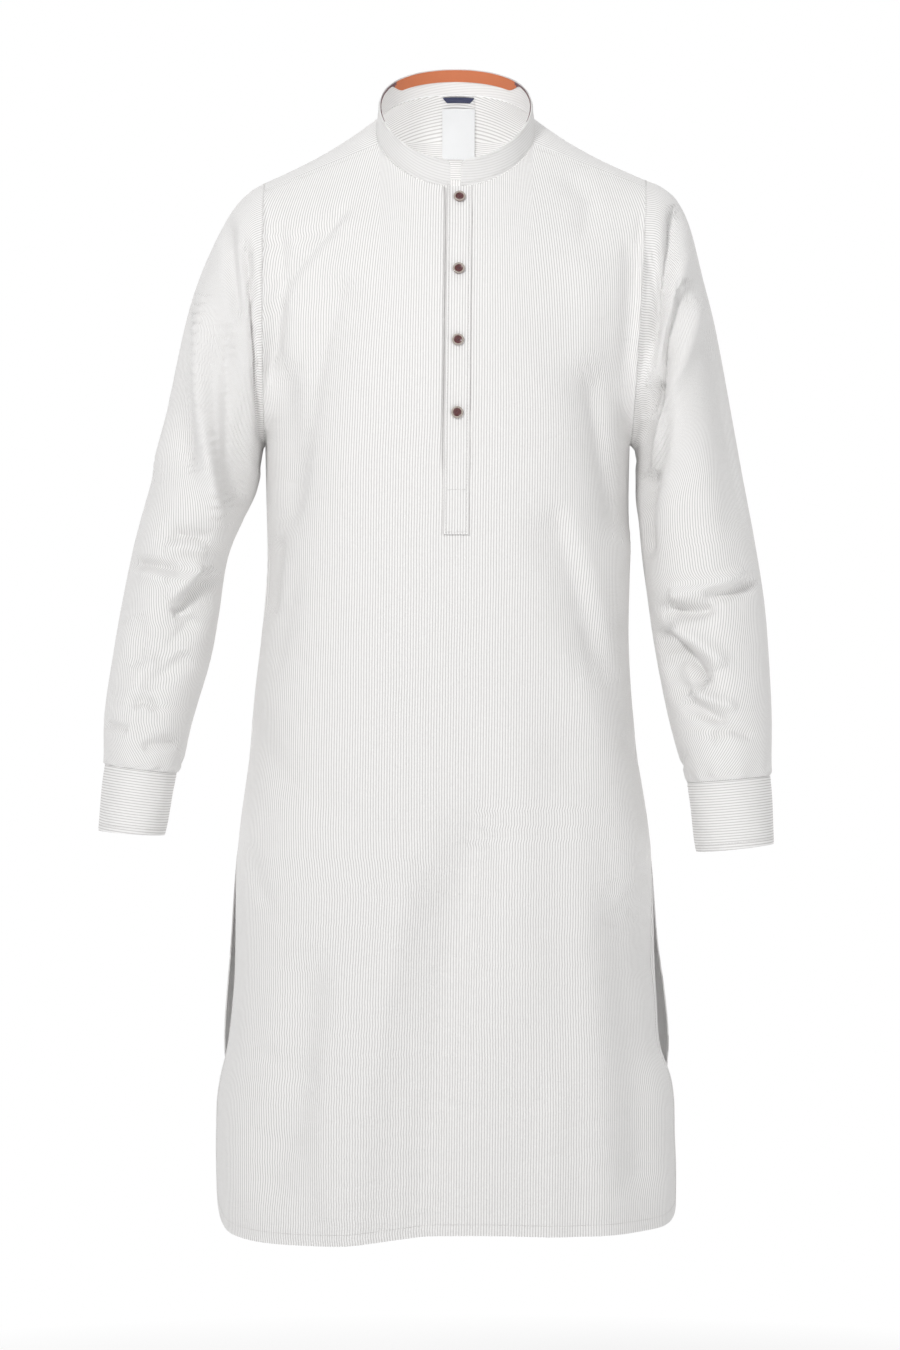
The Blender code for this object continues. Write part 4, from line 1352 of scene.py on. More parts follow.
@dataclass
class BodyPanels:
    """Front and back panels, with their hems, vents and sewing."""

    wardrobe: Wardrobe
    sewing: Sewing
    hem_depth: float = 0.011
    stitch_inset: float = 0.001
    wall: float = 0.0006
    pucker_pitch: float = 0.017
    groove_depth: float = 0.0026
    groove_width: float = 0.0016
    gape: float = 0.0022
    gape_z: float = -0.066
    side_u: float = 0.965
    hem_level: float = -0.978

    def seam_directions(self, grid: Array, levels: Array, front: bool) -> Array:
        """Directions in which the wall is thick, the same for both pieces at a seam.

        Args:
            grid: The panel's points.
            levels: Its rows' levels.
            front: Whether it is the front.

        Returns:
            Unit directions into the garment.
        """
        inward = -outward(grid)
        seam_angle = SHAPE.yoke_front if front else SHAPE.yoke_back
        for i, level in enumerate(levels):
            if level <= 0 and SHAPE.vent_top_z <= grid[i, 0, 2]:
                inward[i, 0], inward[i, -1] = (1, 0, 0), (-1, 0, 0)
            if level > 0:
                angle = np.array(math.pi + (seam_angle - math.pi) * level)
                loop = RIGHT_SLEEVE.inward(angle if front else -angle)
                under = max(0.0, -math.cos(angle)) ** 4
                inward[i, 0] = unit((1 - under) * loop + under * np.array([1, 0, 0]))
                inward[i, -1] = unit((1 - under) * loop + under * np.array([-1, 0, 0]))
        return inward

    def hem_relief(self, grid: Array, levels: Array, u: Array) -> tuple[Array, Array]:
        """Height of the turned hem and vent edges, and the wall's thickness there.

        Args:
            grid: The panel's points.
            levels: Its rows' levels.
            u: Its columns' places.

        Returns:
            Heights outward, and wall thicknesses.
        """
        down = length_along(grid, 0)
        side = np.minimum(np.abs(length_along(grid, 1, 0)), np.abs(length_along(grid, 1, len(u) - 1)))
        vent = np.asarray(levels)[:, None] < SHAPE.level_of(SHAPE.vent_top_z)
        side = np.where(vent, side, 1.0)
        edge = np.minimum(down, side)
        inside = ease((self.hem_depth + 0.002 - edge) / 0.003)
        sewn = bell(edge - self.hem_depth + self.stitch_inset, 0.0014)
        along = np.where(down < side, length_along(grid, 1), down)
        pucker = 0.5 + 0.5 * wave(along, self.pucker_pitch)
        relief = 0.00025 * inside - 0.0004 * sewn * (0.6 + 0.4 * pucker)
        return relief, self.wall * (1 + inside)

    def groove(self, grid: Array, u: Array) -> Array:
        """Height of the gap that shows along the placket's open edge, wider at its top.

        Args:
            grid: The front panel's points.
            u: Its columns' places.

        Returns:
            Heights outward, none above 0.
        """
        z = grid[..., 2]
        edge = grid[:, [int(np.argmin(np.abs(u + SHAPE.placket_u)))], 0]
        gape = self.gape * ease((z - self.gape_z) / 0.022)
        free = ease((z - SHAPE.slit_end_z) / 0.07)
        away = np.clip(edge - grid[..., 0], 0, 1) - 0.0004
        beside = grid[..., 0] < edge + 0.0001
        return -(self.groove_depth + gape) * free * bell(away, self.groove_width + gape) * beside

    def front_grid(self) -> tuple[Array, Array]:
        """Places across the front and the levels of its rows.

        Returns:
            The places and the levels.
        """
        half = np.concatenate([
            [SHAPE.slit_u],
            np.linspace(SHAPE.placket_u, SHAPE.placket_u + 0.03, 7),
            np.linspace(SHAPE.placket_u + 0.03, SHAPE.neck_u, 18)[1:],
            np.linspace(SHAPE.neck_u, self.side_u, 42)[1:],
            np.linspace(self.side_u, 1, 6)[1:],
        ])
        slit, end = SHAPE.level_of(SHAPE.slit_end_z), SHAPE.level_of(SHAPE.placket_end_z)
        levels = np.concatenate([
            np.linspace(-1, self.hem_level, 12),
            np.linspace(self.hem_level, end, 148)[1:],
            np.linspace(end, slit, 10)[1:],
            np.linspace(slit, 0, 11)[1:],
            np.linspace(0, 1, 70)[1:],
        ])
        return np.concatenate([-half[::-1], half]), levels

    def build_front(self) -> None:
        """Makes the front panel, with its slit open behind the placket."""
        u, levels = self.front_grid()
        grid = SHAPE.grid(u, levels, True)
        inward = self.seam_directions(grid, levels, True)
        relief, wall = self.hem_relief(grid, levels, u)
        relief = relief + self.groove(grid, u)
        grid = grid - inward * relief[..., None]
        middle = len(u) // 2
        measure = cloth_measure(grid, middle)
        keep = np.ones((len(levels) - 1, len(u) - 1), bool)
        slit_row = int(np.argmin(np.abs(levels - SHAPE.level_of(SHAPE.slit_end_z))))
        keep[slit_row:, middle - 1] = False
        piece = Cloth("front_cloth", grid, inward, measure, wall, keep).build(self.wardrobe.body)
        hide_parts("front_panel")
        self.sew_edges(grid, -inward, levels, u, "front")
        top = np.abs(u) >= SHAPE.neck_u
        for part in (top & (u < 0), top & (u > 0)):
            self.sewing.run(grid[-2][part], -inward[-2][part])

    def build_back(self) -> None:
        """Makes the back panel."""
        half = np.linspace(0, self.side_u, 50)
        half = np.concatenate([half[1:], np.linspace(self.side_u, 1, 6)[1:]])
        u = np.concatenate([-half[::-1], [0.0], half])
        levels = np.concatenate([
            np.linspace(-1, self.hem_level, 12),
            np.linspace(self.hem_level, 0, 150)[1:],
            np.linspace(0, 1, 56)[1:],
        ])
        grid = SHAPE.grid(u, levels, False)
        inward = self.seam_directions(grid, levels, False)
        relief, wall = self.hem_relief(grid, levels, u)
        grid = grid - inward * relief[..., None]
        grid[-1] += BACK_SEAM_DOWN * SEAM / 2
        inward[-1] = BACK_SEAM_INWARD
        measure = cloth_measure(grid, len(u) // 2)
        piece = Cloth("back_cloth", grid, inward, measure, wall).build(self.wardrobe.body)
        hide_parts("back_panel")
        self.sew_edges(grid, -inward, levels, u, "back")

    def sew_edges(self, grid: Array, normal: Array, levels: Array, u: Array, name: str) -> None:
        """Sews a panel's hem and vent edges.

        Args:
            grid: The panel's points.
            normal: Directions out of it.
            levels: Its rows' levels.
            u: Its columns' places.
            name: The panel's name, for the log.
        """
        down = length_along(grid, 0)[:, len(u) // 2]
        row = int(np.argmin(np.abs(down - self.hem_depth + self.stitch_inset)))
        inset = slice(4, len(u) - 4)
        self.sewing.run(grid[row, inset], normal[row, inset])
        vent_row = int(np.argmin(np.abs(levels - SHAPE.level_of(SHAPE.vent_top_z))))
        for j in (4, len(u) - 5):
            self.sewing.run(grid[row:vent_row, j], normal[row:vent_row, j])
        LOG.info("sewed the edges of the %s", name)

    def build(self) -> None:
        """Makes both panels."""
        self.build_front()
        self.build_back()
        LOG.info("built the front and back panels")


@dataclass
class Yoke:
    """The yoke over both shoulders, with the hang loop and the bare label inside it."""

    wardrobe: Wardrobe
    sewing: Sewing
    wall: float = 0.0006
    shoulder_end: float = math.radians(118)
    label_half: float = 0.21
    puff: float = 0.007
    label_x: float = 0.0065
    label_width: float = 0.0326
    label_ends: tuple = (0.16, 0.78)
    loop_ends: tuple = (0.012, 0.085)
    loop_halves: tuple = (0.0158, 0.0112)

    def columns(self, over: int, half_back: int) -> tuple[Array, Array, Array, Array]:
        """Neck points, outer points and their directions, from front seam to front seam.

        Args:
            over: Columns over each armhole.
            half_back: Columns from the label's edge to each side.

        Returns:
            Neck angles, outer points, inward directions there, and which columns are the back's.
        """
        share = np.linspace(0, 1, over)
        half = np.linspace(SHAPE.label_u, 1, half_back)
        across = np.concatenate([-half[::-1], np.linspace(-SHAPE.label_u, SHAPE.label_u, 9)[1:-1], half])
        side = SHAPE.neck.side_angle
        right = -side - share * (self.shoulder_end - side)
        marks = [-1, -SHAPE.label_u, SHAPE.label_u, 1]
        turns = [
            -self.shoulder_end,
            -math.pi + self.label_half,
            -math.pi - self.label_half,
            -2 * math.pi + self.shoulder_end,
        ]
        back = np.interp(across, marks, turns)
        neck_angle = np.concatenate([right, back[1:-1], -2 * math.pi - right[::-1]])
        arc = SHAPE.yoke_front - share * (SHAPE.yoke_front + SHAPE.yoke_back)
        shift = np.array([SEAM / 2, 0, 0])
        outer = np.concatenate([
            RIGHT_SLEEVE.points(0.0, arc) + shift,
            SHAPE.back_seam(across[1:-1]),
            LEFT_SLEEVE.points(0.0, arc[::-1]) - shift,
        ])
        inward = np.concatenate([
            RIGHT_SLEEVE.inward(arc),
            np.repeat(BACK_SEAM_INWARD[None], len(across) - 2, 0),
            LEFT_SLEEVE.inward(arc[::-1]),
        ])
        is_back = np.zeros(len(outer), bool)
        is_back[over - 1 : len(outer) - over + 1] = True
        outer[is_back] -= BACK_SEAM_DOWN * SEAM / 2
        return neck_angle, outer, inward, is_back

    def build(self) -> None:
        """Makes the yoke, the loop and the label."""
        over, rows = 26, 41
        neck_angle, outer, edge_inward, is_back = self.columns(over, 30)
        neck = SHAPE.neck.point(neck_angle)
        t = np.linspace(0, 1, rows)[:, None, None]
        grid = neck[None] * (1 - t) + outer[None] * t
        normal = outward(grid)
        normal = np.where(normal[:, :, 2:] < 0, -normal, normal)
        place = np.arange(grid.shape[1]) / (over - 1) * 5
        last = place[-1]
        back = ease((place - 1) / 6) * ease((last - 1 - place) / 6)
        grid = grid + normal * self.puff * np.sin(np.pi * t) * back[None, :, None]
        inward = -outward(grid)
        inward = np.where(inward[:, :, 2:] > 0, -inward, inward)
        inward[-1] = edge_inward
        for j in (0, -1):
            inward[:, j] = FRONT_SEAM_INWARD
            grid[:, j] -= FRONT_SEAM_DOWN * SEAM / 2
        shoulder = 0.005 - 0.45 * np.maximum(0, np.abs(grid[..., 0] - 0.003) - 0.075)
        drop = np.maximum(0, shoulder - grid[..., 2])
        behind = ease(grid[..., 1] / 0.03)
        measure = np.stack([grid[..., 0], grid[..., 1] + 0.85 * drop * behind], -1)
        piece = Cloth("yoke_cloth", grid, inward, measure, self.wall).build(self.wardrobe.around)
        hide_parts("yoke")
        self.sewing.run(grid[-2, is_back], -inward[-2, is_back])
        inner = grid + inward * 2 * self.wall
        self.build_loop(inner, inward)
        self.build_label(inner, inward)
        LOG.info("built the yoke, hang loop and label")

    def patch(self, inner: Array, inward: Array, rows: Array, widths: Array) -> tuple[Array, Array]:
        """A small piece on the inside of the yoke, either side of its middle.

        Args:
            inner: The yoke's inner points.
            inward: Directions into the garment.
            rows: Rows of the piece as shares of the yoke's depth.
            widths: Half width of the piece at each of those rows.

        Returns:
            The piece's points on the yoke, and its directions.
        """
        middle = inner.shape[1] // 2
        steps = np.linspace(-1, 1, 15)
        span = np.arange(middle - 8, middle + 9)
        points, ways = [], []
        for share, half in zip(rows, widths):
            at = share * (inner.shape[0] - 1)
            low = min(int(at), inner.shape[0] - 2)
            line = inner[low, span] * (1 - at + low) + inner[low + 1, span] * (at - low)
            way = inward[low, span]
            order = np.argsort(line[:, 0])
            want = self.label_x + steps * half
            points.append(np.stack([np.interp(want, line[order, 0], line[order, k]) for k in range(3)], -1))
            ways.append(np.stack([np.interp(want, line[order, 0], way[order, k]) for k in range(3)], -1))
        return np.array(points), unit(np.array(ways))

    def build_loop(self, inner: Array, inward: Array) -> None:
        """Makes the dark hang loop, which bows a little off the cloth.

        Args:
            inner: The yoke's inner points.
            inward: Directions into the garment.
        """
        count = 7
        rows = np.linspace(*self.loop_ends, count)
        points, ways = self.patch(inner, inward, rows, np.linspace(*self.loop_halves, count))
        bow = 0.0009 * np.sin(np.linspace(0.25, math.pi, count))[:, None, None]
        points = points + ways * (0.0004 + bow)
        measure = cloth_measure(points)
        loop = Cloth("loop_tape_piece", points, ways, measure, 0.0008).build(self.wardrobe.loop)
        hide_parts("hang_loop")

    def build_label(self, inner: Array, inward: Array) -> None:
        """Makes the white label, which is left bare.

        Args:
            inner: The yoke's inner points.
            inward: Directions into the garment.
        """
        count = 30
        rows = np.linspace(*self.label_ends, count)
        corner = np.clip((rows - self.label_ends[1]) / 0.04 + 1, 0, 1)
        widths = self.label_width / 2 - 0.004 * (1 - np.sqrt(1 - 0.96 * corner**2))
        points, ways = self.patch(inner, inward, rows, widths)
        lift = 0.0005 + 0.0008 * np.sin(np.linspace(0, math.pi, count))[:, None, None]
        points = points + ways * lift
        measure = cloth_measure(points)
        label = Cloth("label_satin_piece", points, ways, measure, 0.0004).build(self.wardrobe.label)
        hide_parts("neck_label")


@dataclass
class Collar:
    """The stand collar and the coloured strip inside its upper edge."""

    wardrobe: Wardrobe
    sewing: Sewing
    height: float = 0.026
    wall: float = 0.0014
    gap_half: float = 0.0052
    radius: float = 0.072
    corner: float = 0.006
    bias: float = 0.10
    strip_top: float = 0.955
    strip_lap: float = 0.0004
    strip_wall: float = 0.0006
    # Where the painted shade of the strip's ends begins, as a share along the strip
    painted_shade_from: float = 0.56

    def build(self) -> None:
        """Makes the band, the strip and the band's sewing."""
        gap = math.asin(self.gap_half / SHAPE.neck.half_width)
        angle = np.linspace(gap, 2 * math.pi - gap, 221)
        base = SHAPE.neck.point(angle)
        radial = unit(np.stack([-np.sin(angle), np.cos(angle), 0 * angle], -1))
        stand = unit(0.12 * radial + np.array([0, -0.18, 1]))
        share = np.concatenate([np.linspace(0.03, 0.9, 16), np.linspace(0.9, 1.0, 8)[1:]])
        reach = np.minimum(angle - gap, 2 * math.pi - gap - angle) * self.radius
        near = np.clip(1 - reach / self.corner, 0, 1)
        top = 1 - (self.corner / self.height) * (1 - np.sqrt(1 - near**2)) * 0.8
        heights = share[:, None] * self.height * top[None]
        grid = base[None] + stand[None] * heights[..., None]
        edge = np.clip((share - 0.93) / 0.07, 0, 1)[:, None, None]
        roll = radial[None] * 0.0005 * edge**2
        ripple = 0.0004 * np.sin(angle * 9 + 1.3) * np.sin(share[:, None] * 3.0)
        grid = grid + roll - radial[None] * ripple[..., None]
        around = length_along(grid, 1)
        up = np.broadcast_to(heights, around.shape)
        measure = np.stack([around, up + around * self.bias], -1)
        inward = np.broadcast_to(radial, grid.shape)
        wall = self.wall - 0.0008 * (edge[..., 0] ** 2) + 0 * around
        piece = Cloth("collar_cloth", grid, inward, measure, wall).build(self.wardrobe.collar)
        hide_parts("collar_band")
        for at in (0.14, 0.9):
            row = int(np.argmin(np.abs(share - at)))
            self.sewing.run(grid[row], -inward[row])
        self.build_facing(base, radial, stand)
        LOG.info("built the collar")

    def build_facing(self, base: Array, radial: Array, stand: Array) -> None:
        """Makes the coloured strip inside the collar; its ends get a dark tape, painted shade where the
        strip turns into shadow.

        Args:
            base: The neck seam's points.
            radial: Directions to the neck's middle.
            stand: Directions up the band.
        """
        strip = slice(42, -42)
        turn = np.linspace(-1, 1, len(base[strip]))
        lower = 0.5 + 0.4 * ease((np.abs(turn) - self.painted_shade_from + 0.16) / 0.16)
        share = lower[None] + (self.strip_top - lower[None]) * np.linspace(0, 1, 12)[:, None]
        grid = base[None, strip] + stand[None, strip] * (share * self.height)[..., None]
        lift = self.wall + self.strip_lap
        grid = grid + radial[None, strip] * lift
        measure = cloth_measure(grid)
        inward = np.broadcast_to(radial[None, strip], grid.shape)
        cloth = Cloth("facing_tape_piece", grid, inward, measure, self.strip_wall)
        piece = cloth.build(self.wardrobe.facing)
        # The strip's ends take the dark tape: painted shade where the strip turns away into shadow
        piece.data.materials.append(self.wardrobe.edge)
        ends = base[strip][np.argmin(np.abs(turn - self.painted_shade_from))][1]
        for polygon in piece.data.polygons:
            polygon.material_index = int(polygon.center.y < ends)
        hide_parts("collar_facing")


@dataclass
class Placket:
    """The two strips of the front opening, and its four buttons."""

    wardrobe: Wardrobe
    sewing: Sewing
    wall: float = 0.0008
    lap: float = 0.0004
    under: float = 0.0016
    stitch_inset: float = 0.002
    hole_half: float = 0.0078
    columns: int = 21
    buttons: int = 4

    def lift(self, z: Array, share: Array) -> Array:
        """How far the upper strip stands off the panel, most at its open edge and lower end.

        Args:
            z: Heights of its points.
            share: Places across it, from its open edge (-1) to its sewn edge (1).

        Returns:
            Distances outward.
        """
        free = ease((z - SHAPE.slit_end_z) / 0.03)
        ripple = 0.5 + 0.5 * wave(z, 0.047, 1.1) * wave(z, 0.083)
        open_edge = np.clip((-share - 0.55) / 0.45, 0, 1) ** 1.5 * free * (0.0004 + 0.0011 * ripple)
        top_corner = np.clip((-share - 0.2) / 0.8, 0, 1) ** 2 * ease((z + 0.085) / 0.02) * 0.0022
        lower_end = 0.0011 * bell(z - SHAPE.placket_end_z, 0.004)
        sewn = -0.00025 * bell(np.abs(share) - 0.8, 0.1)
        soft = 0.0003 * wave(z, 0.061) * np.cos(share * 2.2)
        return self.lap + self.wall + open_edge + top_corner + lower_end + sewn + soft

    def build(self) -> None:
        """Makes the strips and the buttons."""
        end = SHAPE.level_of(SHAPE.placket_end_z)
        levels = np.concatenate([np.linspace(end, 0, 44), np.linspace(0, 0.999, 90)[1:]])
        u = np.linspace(-SHAPE.placket_u, SHAPE.placket_u, self.columns)
        middle = self.columns // 2
        grid = SHAPE.grid(u, levels, True)
        inward = -outward(grid)
        z = grid[..., 2]
        outer = grid - inward * self.lift(z, np.linspace(-1, 1, self.columns)[None])[..., None]
        measure = cloth_measure(outer, middle)
        piece = Cloth("placket_top_cloth", outer, inward, measure, self.wall).build(self.wardrobe.band)
        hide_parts("placket_top")
        for j in (2, len(u) - 3):
            self.sewing.run(outer[:, j], -inward[:, j])
        for height in (SHAPE.placket_end_z + self.stitch_inset, SHAPE.slit_end_z - self.stitch_inset):
            row = int(np.argmin(np.abs(z[:, middle] - height)))
            self.sewing.run(outer[row, 1:-1], -inward[row, 1:-1])
        below = grid + inward * self.under
        measure = cloth_measure(below, middle)
        piece = Cloth("placket_under_cloth", below, inward, measure, self.wall).build(self.wardrobe.band)
        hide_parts("placket_under")
        for number in range(self.buttons):
            height = SHAPE.first_button_z - number * SHAPE.button_pitch
            row = int(np.argmin(np.abs(z[:, middle] - height)))
            self.add_buttonhole(outer, inward, row)
            Button(self.wardrobe).build(f"button_{number + 1}", outer[row, middle], -inward[row, middle])
        LOG.info("built the placket and its buttons")

    def add_buttonhole(self, outer: Array, inward: Array, row: int) -> None:
        """Sews the buttonhole that shows above and below its button.

        Args:
            outer: The strip's points.
            inward: Directions into the garment.
            row: The row of the button's middle.
        """
        middle = self.columns // 2
        z = outer[:, middle, 2]
        part = np.abs(z - z[row]) < self.hole_half
        for j in (middle - 1, middle, middle + 1):
            self.sewing.run(outer[part, j], -inward[part, j])


class Ring(NamedTuple):
    """A ring of a button's outline: its radius and height, as shares of the button's own."""

    radius: float
    height: float


BUTTON_RINGS = [
    Ring(0.78, 0.0), Ring(0.94, 0.12), Ring(1.0, 0.4), Ring(1.0, 0.7),
    Ring(0.965, 0.9), Ring(0.89, 1.0), Ring(0.80, 0.985), Ring(0.735, 0.86),
    Ring(0.69, 0.66), Ring(0.62, 0.58), Ring(0.4, 0.55), Ring(0.2, 0.55),
]
RIM_RINGS = range(3, 8)


@dataclass
class Button:
    """A two-tone button, sewn through with thread."""

    wardrobe: Wardrobe
    radius: float = 0.0057
    thick: float = 0.0024
    stand: float = 0.0005
    holes: float = 0.0024
    sides: int = 40

    def build(self, node: str, seat: Array, facing: Array) -> None:
        """Makes one button in place of its solid.

        Args:
            node: The solid that it stands for.
            seat: The point on the cloth under its middle.
            facing: The unit direction that it faces.
        """
        side = unit(np.cross(facing, [0, 0, 1]))
        up = np.cross(side, facing)
        base = seat + facing * self.stand
        points, faces, tones = [], [], []
        for ring in BUTTON_RINGS:
            for k in range(self.sides):
                turn = 2 * math.pi * k / self.sides
                arm = side * math.cos(turn) + up * math.sin(turn)
                points.append(base + arm * ring.radius * self.radius + facing * ring.height * self.thick)
        last = len(BUTTON_RINGS) - 1
        for i in range(last):
            for k in range(self.sides):
                n = (k + 1) % self.sides
                a, b = i * self.sides, (i + 1) * self.sides
                faces.append((a + k, a + n, b + n, b + k))
                tones.append(0 if i in RIM_RINGS else 1)
        faces.append(tuple(range(self.sides))[::-1])
        faces.append(tuple(last * self.sides + k for k in range(self.sides)))
        tones += [1, 1]
        mesh = bpy.data.meshes.new(node + "_resin")
        mesh.from_pydata([tuple(map(float, p)) for p in points], [], faces)
        piece = add_piece(node + "_resin", mesh, self.wardrobe.rim, self.wardrobe.resin)
        mesh.polygons.foreach_set("material_index", tones)
        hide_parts(node)
        thread = Sewing(stitch=0.0026, gap=0.0001, thick=0.0003)
        top = base + facing * 0.56 * self.thick
        for a, b in ((-1, 1), (1, -1)):
            start = top + (side * a + up * b) * self.holes * 0.5
            end = top - (side * a + up * b) * self.holes * 0.5
            line = start + (end - start) * np.linspace(-0.3, 1.35, 12)[:, None]
            thread.run(line, np.repeat(facing[None], 12, 0))
        if thread.points:
            thread.build(node + "_thread", self.wardrobe.edge)


@dataclass
class Sleeve:
    """A sleeve with its cuff, the strip above it and the cuff's button."""

    wardrobe: Wardrobe
    sewing: Sewing
    shape: SleeveShape
    name: str
    wall: float = 0.0006
    cuff_wall: float = 0.0016
    strip_lap: float = 0.0004
    strip_wall: float = 0.0008
    elbow: float = 10.0
    wrist: float = 14.0
    strip_ends: tuple = (11.9, 14.6)
    cuff_rim: float = 0.06
    cuff_steps: int = 20
    cuff_start: int = 14
    cuff_lapped: int = 22
    cuff_rise: int = 16
    gather: float = 0.0014

    def build(self) -> None:
        """Makes the sleeve and what is sewn to it."""
        last = len(self.shape.rows) - 1
        s = np.concatenate([
            np.linspace(0, self.elbow, 130),
            np.linspace(self.elbow, self.wrist, 108)[1:],
            np.linspace(self.wrist, last, 16)[1:],
        ])
        angle = math.pi + np.linspace(0, 2 * math.pi, 169)[:-1]
        grid = np.array([self.shape.points(v, angle) for v in s])
        height = self.shape.height(self.shape.creases, s[:, None], angle[None, :])
        height *= (ease(s / 1.5) * ease((last - s) / 1.0))[:, None]
        fine = self.shape.height(self.shape.fine, s[:, None], angle[None, :])
        facing = ease((np.sin(angle) - 0.1) / 0.4)
        fine = fine + fold_height(*seen_from_front(grid), self.shape.front) * (2.0 * facing)
        height += fine * (1.3 * ease(s / 0.35) * ease((last - s) / 0.4))[:, None]
        ripple = np.sin(angle * 11 + 0.6 * np.sin(angle * 3))
        gather = self.gather * ripple * bell(last - s, 0.7)[:, None]
        height = height + gather * ease((last - s) / 0.25)[:, None]
        grid = grid + outward(grid, True) * height[..., None]
        grid[0, :, 0] += self.shape.side * SEAM / 2
        inward = -outward(grid, True)
        inward[0] = self.shape.inward(angle)
        ring = np.linalg.norm(np.roll(grid, -1, 1) - grid, axis=-1)
        around = np.concatenate([np.zeros((len(s), 1)), np.cumsum(ring, 1)[:, :-1]], 1)
        measure = np.stack([around, length_along(grid, 0)], -1)
        cloth = Cloth(
            f"sleeve_{self.name}_cloth", grid, inward, measure, self.wall, wrap=True, closing=ring.sum(1)
        )
        piece = cloth.build(self.wardrobe.body)
        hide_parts("sleeve_" + self.name)
        self.sewing.run(grid[1], -inward[1])
        self.build_strip(grid, inward, s)
        self.build_cuff()
        LOG.info("built the %s sleeve", self.name)

    def build_strip(self, grid: Array, inward: Array, s: Array) -> None:
        """Makes the strip sewn on the back of the sleeve above its cuff.

        Args:
            grid: The sleeve's points.
            inward: Directions into it.
            s: Its rows' section numbers.
        """
        rows = np.nonzero((s > self.strip_ends[0]) & (s < self.strip_ends[1]))[0]
        columns = np.arange(42, 55)
        part = np.ix_(rows, columns)
        outer = grid[part] - inward[part] * (self.strip_lap + self.strip_wall)
        measure = cloth_measure(outer)
        cloth = Cloth("sleeve_strip_" + self.name, outer, inward[part], measure, self.strip_wall)
        piece = cloth.build(self.wardrobe.band)
        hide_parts("sleeve_placket_" + self.name)
        for j in (0, len(columns) - 1):
            self.sewing.run(outer[:, j], -inward[part][:, j])

    def build_cuff(self) -> None:
        """Makes the cuff, a band that laps over its own start at the back of the wrist."""
        ends = [self.shape.rows[-1], self.shape.cuff_end]
        fine = 6
        turn = np.arange(0, self.cuff_lapped * fine + 1) / fine
        angle = (self.cuff_start + turn) * 2 * math.pi / self.cuff_steps
        lower = np.linspace(0, self.cuff_rim, 5)
        middle = np.linspace(self.cuff_rim, 1 - self.cuff_rim, 26)
        heights = np.concatenate([lower, middle[1:-1], np.linspace(1 - self.cuff_rim, 1, 5)])
        grid = np.array([self.shape.points(h, angle, ends) for h in heights])
        axis = unit(grid[-1].mean(0) - grid[0].mean(0))
        grid = grid + axis * SEAM * (1 - heights)[:, None, None]
        out = unit(grid - grid.mean(axis=1, keepdims=True))
        out = unit(out - (out @ axis)[..., None] * axis)
        raised = (self.cuff_wall + self.strip_lap) * 1.3 * ease((turn - self.cuff_rise) / 3.0)
        edge = np.minimum(heights, 1 - heights)[:, None]
        puff = -0.0006 * bell(edge, 0.035) - 0.0003 * bell(edge - 0.09, 0.03)
        ripple = 0.0005 * np.sin(angle * 5 + heights[:, None] * 4) * np.sin(heights * math.pi)[:, None]
        grid = grid + out * (raised[None] + puff + ripple)[..., None]
        measure = cloth_measure(grid)
        wall = self.cuff_wall + puff + 0 * ripple
        piece = Cloth(f"cuff_{self.name}_cloth", grid, -out, measure, wall).build(self.wardrobe.around)
        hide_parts("cuff_" + self.name)
        for at in (0.07, 0.92):
            row = int(np.argmin(np.abs(heights - at)))
            self.sewing.run(grid[row], out[row])
        j = len(turn) - 1 - fine // 2 - 2
        row = int(np.argmin(np.abs(heights - 0.5)))
        Button(self.wardrobe).build("cuff_button_" + self.name, grid[row, j], out[row, j])


class Lamp(NamedTuple):
    """A soft square light: where it stands, its side in metres, its watts and what it faces."""

    name: str
    place: tuple
    size: float
    watts: float
    aim: tuple = (0, 0, -0.5)


LAMPS = [
    Lamp("key", (-1.6, -3.3, 1.7), 0.7, 74),
    Lamp("fill", (1.9, -3.6, 0.4), 1.2, 29),
    Lamp("top", (0.1, -0.5, 2.6), 1.2, 14),
    Lamp("neck", (0.0, -0.045, -0.16), 0.09, 0.24, (0.0, 0.09, 0.02)),
]


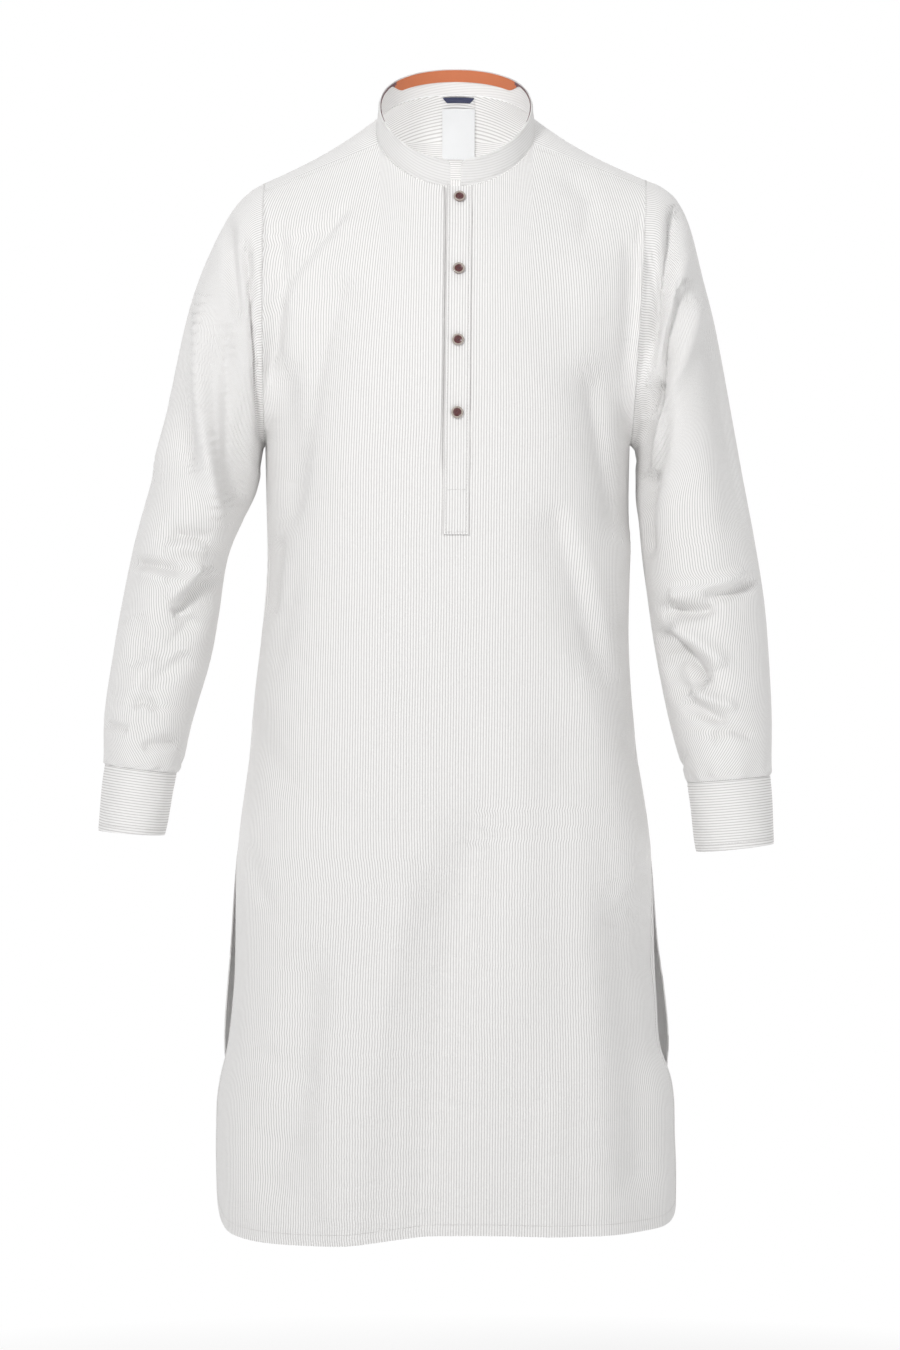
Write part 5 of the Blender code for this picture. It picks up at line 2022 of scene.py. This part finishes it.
@dataclass
class Studio:
    """A plain pale floor, soft light and the camera at the photograph's angle."""

    lens: float = 122.4
    floor_z: float = -1.32
    room: float = 0.26
    sensor: float = 36.0
    fade: float = 1.2

    def build(self) -> None:
        """Makes the floor, the light and the camera."""
        scene = bpy.context.scene
        self.add_floor()
        self.add_world()
        for lamp in LAMPS:
            self.add_light(lamp)
        camera = bpy.data.objects.new("camera", bpy.data.cameras.new("camera"))
        camera.location = (CAMERA_X, -CAMERA_DISTANCE, CAMERA_Z)
        camera.rotation_euler = (math.pi / 2, 0, 0)
        camera.data.sensor_fit = "VERTICAL"
        camera.data.sensor_height = self.sensor
        camera.data.lens = self.lens
        scene.collection.objects.link(camera)
        scene.camera = camera
        scene.view_settings.view_transform = "Standard"
        LOG.info("lit the studio")

    def add_floor(self) -> None:
        """Makes a plain pale floor that fades into the white behind it."""
        mesh = bpy.data.meshes.new("floor")
        mesh.from_pydata([(-40, -40, 0), (40, -40, 0), (40, 40, 0), (-40, 40, 0)], [], [(0, 1, 2, 3)])
        floor = bpy.data.objects.new("floor", mesh)
        floor.location = (0, 0, self.floor_z)
        bpy.context.scene.collection.objects.link(floor)
        material, nodes, shader = new_finish("pale_floor")
        shader.inputs["Base Color"].default_value = (0.9, 0.9, 0.9, 1)
        shader.inputs["Roughness"].default_value = 0.9
        place = nodes.add("ShaderNodeTexCoord")
        reach = nodes.add("ShaderNodeVectorMath", {0: place.outputs["Object"]}, operation="LENGTH")
        far = nodes.add(
            "ShaderNodeMapRange", {"Value": reach.outputs["Value"], "From Min": 0.0, "From Max": self.fade}
        )
        glow = nodes.add("ShaderNodeEmission")
        ends = {0: far.outputs[0], 1: shader.outputs[0], 2: glow.outputs[0]}
        mixed = nodes.add("ShaderNodeMixShader", ends)
        nodes.link(mixed.outputs[0], material.node_tree.nodes["Material Output"].inputs[0])
        mesh.materials.append(material)

    def add_world(self) -> None:
        """Makes a white room, dimmer before the garment so that the lamps shape it."""
        world = bpy.data.worlds.new("studio")
        bpy.context.scene.world = world
        world.use_nodes = True
        nodes = Nodes(world.node_tree)
        place = nodes.add("ShaderNodeTexCoord")
        parts = nodes.add("ShaderNodeSeparateXYZ", {0: place.outputs["Generated"]})
        level = nodes.add(
            "ShaderNodeMapRange",
            {
                "Value": parts.outputs[1],
                "From Min": -0.1,
                "From Max": 0.5,
                "To Min": self.room,
                "To Max": 1.0,
            },
        )
        back = world.node_tree.nodes["Background"]
        back.inputs["Color"].default_value = (1, 1, 1, 1)
        nodes.link(level.outputs[0], back.inputs["Strength"])

    def add_light(self, lamp: Lamp) -> None:
        """Adds one lamp, turned to face its point of the garment.

        Args:
            lamp: The lamp to add.
        """
        data = bpy.data.lights.new(lamp.name, "AREA")
        data.size = lamp.size
        data.energy = lamp.watts
        light = bpy.data.objects.new(lamp.name, data)
        light.location = lamp.place
        way = unit(np.array(lamp.aim) - np.array(lamp.place))
        yaw = math.atan2(way[1], way[0]) - math.pi / 2
        pitch = math.acos(max(-1.0, min(1.0, -way[2])))
        light.rotation_euler = (pitch, 0, yaw)
        bpy.context.scene.collection.objects.link(light)


def main() -> None:
    """Builds the garment's pieces in order."""
    logging.basicConfig(level=logging.INFO, format="%(message)s")
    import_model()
    wardrobe = Wardrobe()
    sewing = Sewing()
    BodyPanels(wardrobe, sewing).build()
    Yoke(wardrobe, sewing).build()
    Collar(wardrobe, sewing).build()
    Placket(wardrobe, sewing).build()
    Sleeve(wardrobe, sewing, RIGHT_SLEEVE, "right").build()
    Sleeve(wardrobe, sewing, LEFT_SLEEVE, "left").build()
    stitches = sewing.build("sewing", wardrobe.thread)
    LOG.info("sewed %d stitches", len(stitches.data.vertices) // STITCH_POINTS)
    Studio().build()


if __name__ == "__main__":
    main()
